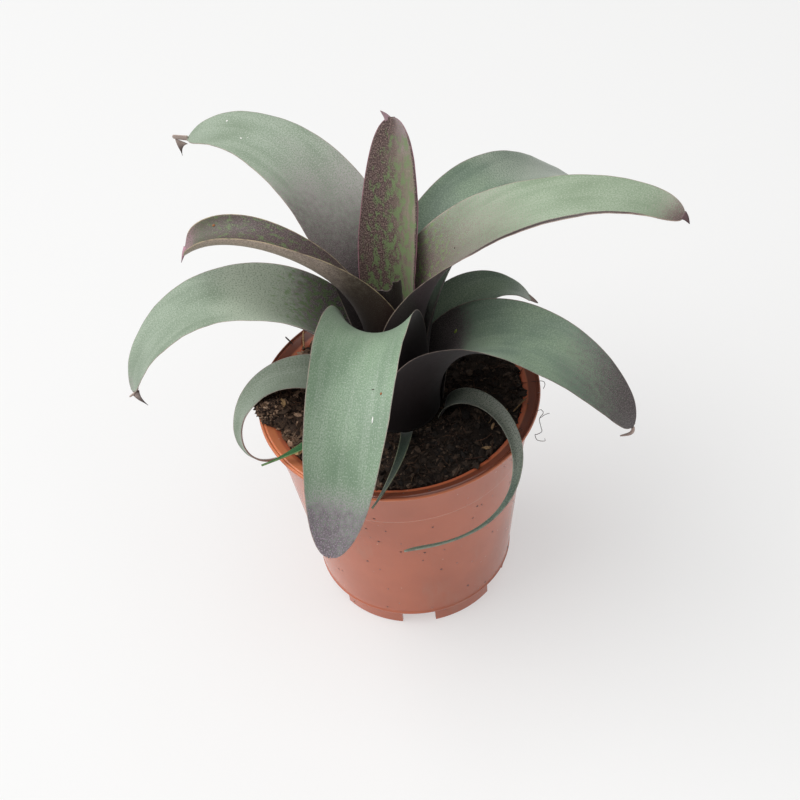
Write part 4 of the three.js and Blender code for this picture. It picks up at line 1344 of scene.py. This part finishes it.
# %% Leaf looks
LEAF_LOOKS = {
    "leaf_torn": dict(
        look="torn", slot="leaf_maroon",
        stain="0 1, 1 0.6", bloom="0 0, 1 0"),
    "leaf_upright": dict(
        # The tilt stains the left margin darker: in part painted shade on the side of the channel turned from
        # the light.
        look="maroon", slot="leaf_maroon", tilt=0.42, patch_tilt=-0.06, patch_edge=0.25,
        strip=(-1, 0.3, 0.97, 0.1),
        stain="0 0.9, 0.3 0.8, 0.5 0.74, 0.75 0.68, 0.9 0.6, 1 0.75",
        bloom="0 0.1, 0.5 0.2, 0.8 0.3, 0.93 0.6, 1 1",
        patch="0 0.08, 0.35 0.08, 0.55 0.06, 0.75 0.03, 0.9 0, 0.97 -0.08, 1 -0.3"),
    "leaf_mid_left": dict(
        look="bronze", slot="leaf_maroon",
        stain="0 1.15, 0.4 0.95, 0.6 0.85, 0.75 0.76, 0.86 0.66, 0.93 0.5, 1 0.25",
        bloom="0 0.1, 0.6 0.1, 0.9 0.1, 0.96 0.6, 1 1",
        patch="0 -0.3, 0.5 -0.08, 0.7 0, 0.9 0, 0.95 -0.2, 1 -0.3",
        dark="0 1.25, 0.3 1, 0.45 0.75, 0.6 0.4, 0.8 0.15, 1 0.1"),
    "leaf_right": dict(
        look="rosy", slot="leaf_green", tilt=-0.12, strip=(-1, 0.5, 0.93, 0.13),
        stain="0 1.4, 0.22 1.25, 0.32 0.92, 0.42 0.68, 0.52 0.52, 0.62 0.38, 0.7 0.24, 0.78 0.04, "
              "0.88 0.02, 0.95 0.35, 1 0.8",
        bloom="0 0.2, 0.4 0.5, 0.6 0.5, 0.75 0.15, 0.85 0, 0.94 0.5, 1 1",
        patch="0 -0.02, 0.3 0.02, 0.42 -0.02, 0.5 -0.1, 0.6 -0.3, 1 -0.3"),
    "leaf_back_left": dict(
        look="green", slot="leaf_green", tilt=0.14,
        stain="0 1.1, 0.22 0.95, 0.34 0.74, 0.46 0.54, 0.58 0.38, 0.7 0.2, 0.82 0, 1 0",
        bloom="0 0.6, 0.4 0.7, 0.6 0.6, 0.75 0.3, 0.9 0.1, 1 0.35"),
    "leaf_back_right": dict(
        look="dark", slot="leaf_dark",
        stain="0 1.2, 0.2 0.7, 0.32 0.2, 1 0", bloom="0 0, 0.45 0, 0.62 0.6, 1 0.9"),
    "leaf_front": dict(
        look="front", slot="leaf_green", tilt=-0.08,
        stain="0 0.6, 0.2 0.25, 0.35 0, 0.8 0, 0.86 0.2, 0.9 0.55, 1 0.7",
        bloom="0 0.3, 0.4 0.1, 0.75 0.05, 0.88 0.6, 1 1",
        dark="0 1.4, 0.3 1.25, 0.45 0.9, 0.6 0.4, 0.8 0.1, 1 0.3"),
    "leaf_low_left": dict(
        look="lower", slot="leaf_green", tilt=-0.1,
        stain="0 1.2, 0.22 1, 0.3 0.82, 0.38 0.56, 0.46 0.26, 0.54 0, 0.9 0.05, 1 0.5",
        # The pale bloom from t 0.28 to 0.52 is in part painted light where the leaf above shades this one.
        bloom="0 0.2, 0.28 0.9, 0.52 0.9, 0.68 0.1, 0.8 0, 1 0",
        patch="0 -0.15, 0.22 0.04, 0.36 0.07, 0.46 -0.05, 0.52 -0.3, 1 -0.3"),
    "leaf_low_right": dict(
        look="dark", slot="leaf_green", tilt=0.08,
        # Its stain rising towards the tip is in part painted shade on the end turned from the light; its dark
        # underside is painted shade.
        stain="0 1.3, 0.22 1, 0.3 0.6, 0.38 0.2, 0.6 0.12, 0.72 0.4, 0.85 0.6, 1 0.85",
        bloom="0 0, 0.8 0, 1 0.3", dark="0 1.4, 0.3 1.2, 0.5 0.9, 0.7 0.5, 1 0.4"),
    "leaf_small_right": dict(
        look="dark", slot="leaf_dark",
        stain="0 1, 0.3 0.3, 0.5 0.1, 1 0.3", bloom="0 0, 0.8 0.2, 1 0.8"),
    "leaf_curl_left": dict(
        look="green", slot="leaf_dark", strip=(1, 0.5, 0.99, 0.3),
        stain="0 0.6, 0.2 0, 1 0", bloom="0 0.2, 0.5 0.2, 1 0.4"),
    "leaf_thin_left": dict(
        look="vivid", slot="leaf_dark",
        stain="0 0.3, 0.3 0, 1 0", bloom="0 0, 1 0"),
    "leaf_thin_front": dict(
        look="deep", slot="leaf_dark",
        stain="0 0.3, 1 0.2", bloom="0 0, 1 0.2"),
    "leaf_curl_right": dict(
        look="curl", slot="leaf_dark",
        stain="0 0.5, 0.3 0.1, 1 0", bloom="0 0.5, 0.25 0.8, 0.5 0.5, 0.7 0.2, 1 0"),
}


ROWS_PER_MM = 1.1
COLUMNS_PER_MM = 1.7


def stepped(run, t):
    """The amount at t, with a straight line between a run's pairs of t and amount."""
    knots, amounts = np.array([pair.split() for pair in run.split(", ")], float).T
    return np.interp(t, knots, amounts)


def layer_values(look, values):
    """The amounts of stain, bloom and open green at every point, and of the underside's painted shade. A
    strip has its margin (-1 or 1), the t where it starts and ends, and its share of the half width. The
    underside's painted shade takes the stain's amounts unless the leaf gives it dark ones of its own,
    and patches may keep clear of the margins, by u^8."""
    t, u = values["along"] + 0 * values["across"], values["across"]
    stain = stepped(look["stain"], t) + look.get("tilt", 0) * u
    if "strip" in look:
        margin, start, end, share = look["strip"]
        inside = np.clip((margin * u - (1 - share)) / 0.03, 0, 1)
        length = np.clip((t - start) / 0.08, 0, 1) * np.clip((end - t) / 0.05, 0, 1)
        stain = stain + 1.1 * inside * length
    patch = stepped(look.get("patch", "0 -1, 1 -1"), t) + look.get("patch_tilt", 0) * u
    patch = patch - look.get("patch_edge", 0) * u ** 8
    dark = stepped(look.get("dark", look["stain"]), t)
    return dict(stain=stain, dark=dark, bloom=stepped(look["bloom"], t), patch=patch,
                under=values["under"], rim=values["rim"], claw=0 * t)


def grow_leaf(name, finishes):
    """The blade's grid and its horns, joined in one mesh, with every value that the finish reads."""
    leaf, look = LEAVES[name], LEAF_LOOKS[name]
    rows = int(np.clip(leaf["length"] * ROWS_PER_MM, 60, 190))
    across = int(np.clip(max(leaf["half"]) * COLUMNS_PER_MM, 10, 40))
    points, uv, values = blade_grid(name, rows, across)
    faces = blade_faces(rows, across)
    points, uv = points.reshape(-1, 3), uv.reshape(-1, 2)
    layers = {key: value.ravel() for key, value in layer_values(look, values).items()}
    for horn in [h for h in HORNS if h["leaf"] == name]:
        more, more_faces, tone, reach = horn_surface(horn)
        faces += [[corner + len(points) for corner in face] for face in more_faces]
        points = np.concatenate([points, more])
        uv = np.concatenate([uv, np.stack([0 * reach, leaf["length"] + reach], -1)])
        added = dict(stain=0.5, dark=0.5, bloom=0.5, patch=-1, under=0, rim=9, claw=1 + tone)
        layers = {key: np.concatenate([value, added[key] + 0 * tone]) for key, value in layers.items()}
    finish = finishes[look["look"]]
    piece_name = name.replace("leaf_", "blade_")
    return make_piece(piece_name, points, faces, finish, uv, layers, stands_for=name)


FINISHES = {
    "green": dict(patches=0.6), "lower": dict(patches=0.75, sway=0.55), "front": dict(scurf=0.14, sway=0.6),
    "rosy": dict(patches=0.7, sway=0.2), "dark": dict(scurf=0.16),
    "bronze": dict(scurf=0.14, patches=0.6, dotted=0.2), "torn": dict(scurf=0.08, dotted=0.2),
    "maroon": dict(scurf=0.1, patches=0.8, dotted=0.15, spread=1.6), "deep": dict(scurf=0.06, rim=0.2),
    "curl": dict(scurf=0.12, rim=0.2), "vivid": dict(scurf=0.04, rim=0.15),
}
leaf_finishes = {name: leaf_finish(name, **shares) for name, shares in FINISHES.items()}
for leaf_name in LEAVES:
    blade = grow_leaf(leaf_name, leaf_finishes)
    print(blade.name, len(blade.data.polygons), "faces")

# %% [markdown]
# ## Flecks on the leaves
#
# A few small things sit on the blades: white flecks of dried water scale on the leaf at the back left, a
# short white scratch and brown specks on the front one, and a brown, a rusty or a green spot on three
# more. The blade's grid is too coarse for them, so each is a flat lump laid on it at its t and u.

# %% Flecks
WHITE, BROWN, RUST, GREEN = 1.0, 0.0, 0.35, 0.65
FLECK_THICKNESS = 0.12

# Each fleck: leaf, t, u, half length, half width, tone
FLECKS = [
    ("leaf_back_left", 0.885, -0.45, 0.55, 0.5, WHITE), ("leaf_back_left", 0.815, 0.3, 0.5, 0.4, WHITE),
    ("leaf_back_left", 0.8, 0.18, 0.22, 0.22, WHITE), ("leaf_front", 0.703, 0.6, 1.4, 0.28, WHITE),
    ("leaf_front", 0.638, 0.48, 0.25, 0.6, BROWN), ("leaf_front", 0.648, 0.69, 0.6, 0.45, RUST),
    ("leaf_mid_left", 0.9, -0.65, 1.0, 0.5, RUST),
    ("leaf_right", 0.47, 0.1, 0.5, 0.4, BROWN), ("leaf_low_right", 0.27, 0.62, 1.5, 0.7, GREEN),
]


def fleck_finish():
    """One material for all flecks, which takes its colour from their tone."""
    f = Finish("leaf_fleck")
    tone = f.attribute("tone")
    colour = f.mix(paint("3b2a22"), paint("94592f"), f.step(tone, 0.1, 0.3))
    colour = f.mix(colour, paint("8fa04a"), f.step(tone, 0.4, 0.6))
    colour = f.mix(colour, paint("f2f1ec"), f.step(tone, 0.75, 0.95))
    f.set_skin(Base_Color=colour, Roughness=0.7)
    return f.material


def lay_flecks():
    """Flat lumps whose long side lies along the blade and whose short one stands on its surface."""
    shape, faces = lump_shape()
    points = []
    for name, t, u, long, wide, _ in FLECKS:
        leaf, t = LEAVES[name], np.array([t])
        centre = blade_surface(leaf, t, np.array([u]), np.array([LEAF_THICKNESS / 2]))[0]
        along, side, normal = (axis[0] for axis in blade_frame(leaf, t))
        bend = np.radians(cubic_through([0, *leaf["channel"]], t)[0])
        lean = u * bend * half_width(leaf, t)[0] / cubic_through(leaf["half"], t)[0]
        across = side * np.cos(lean) + normal * np.sin(lean)
        outward = normal * np.cos(lean) - side * np.sin(lean)
        points.append(centre + shape * (long, wide, FLECK_THICKNESS) @ np.stack([along, across, outward]))
    every = copied(faces, len(shape), len(points))
    tones = np.repeat([tone for *_, tone in FLECKS], len(shape))
    return make_piece("leaf_flecks", np.concatenate(points), every.tolist(), fleck_finish(),
                      values={"tone": tones})


flecks = lay_flecks()
print(flecks.name, len(FLECKS))

# %% [markdown]
# ## The stem
#
# The short stem is hidden by the sheaths. It still needs a finish of its own, because it can be seen
# from straight above, at the bottom of the cup.

# %% Stem
def stem_finish():
    """Dull brown with fine upright ridges."""
    f = Finish("plant_stem")
    place = f.place()
    ridge = f.noise(f.scaled(place, 900, 900, 60), detail=3)
    colour = f.mix(paint("4a3f30"), paint("6b5c45"), f.step(ridge, 0.35, 0.65))
    f.set_skin(Base_Color=colour, Roughness=0.8, Normal=f.relief(ridge, 0.3))
    return f.material


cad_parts["stem"].data.materials.clear()
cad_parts["stem"].data.materials.append(stem_finish())
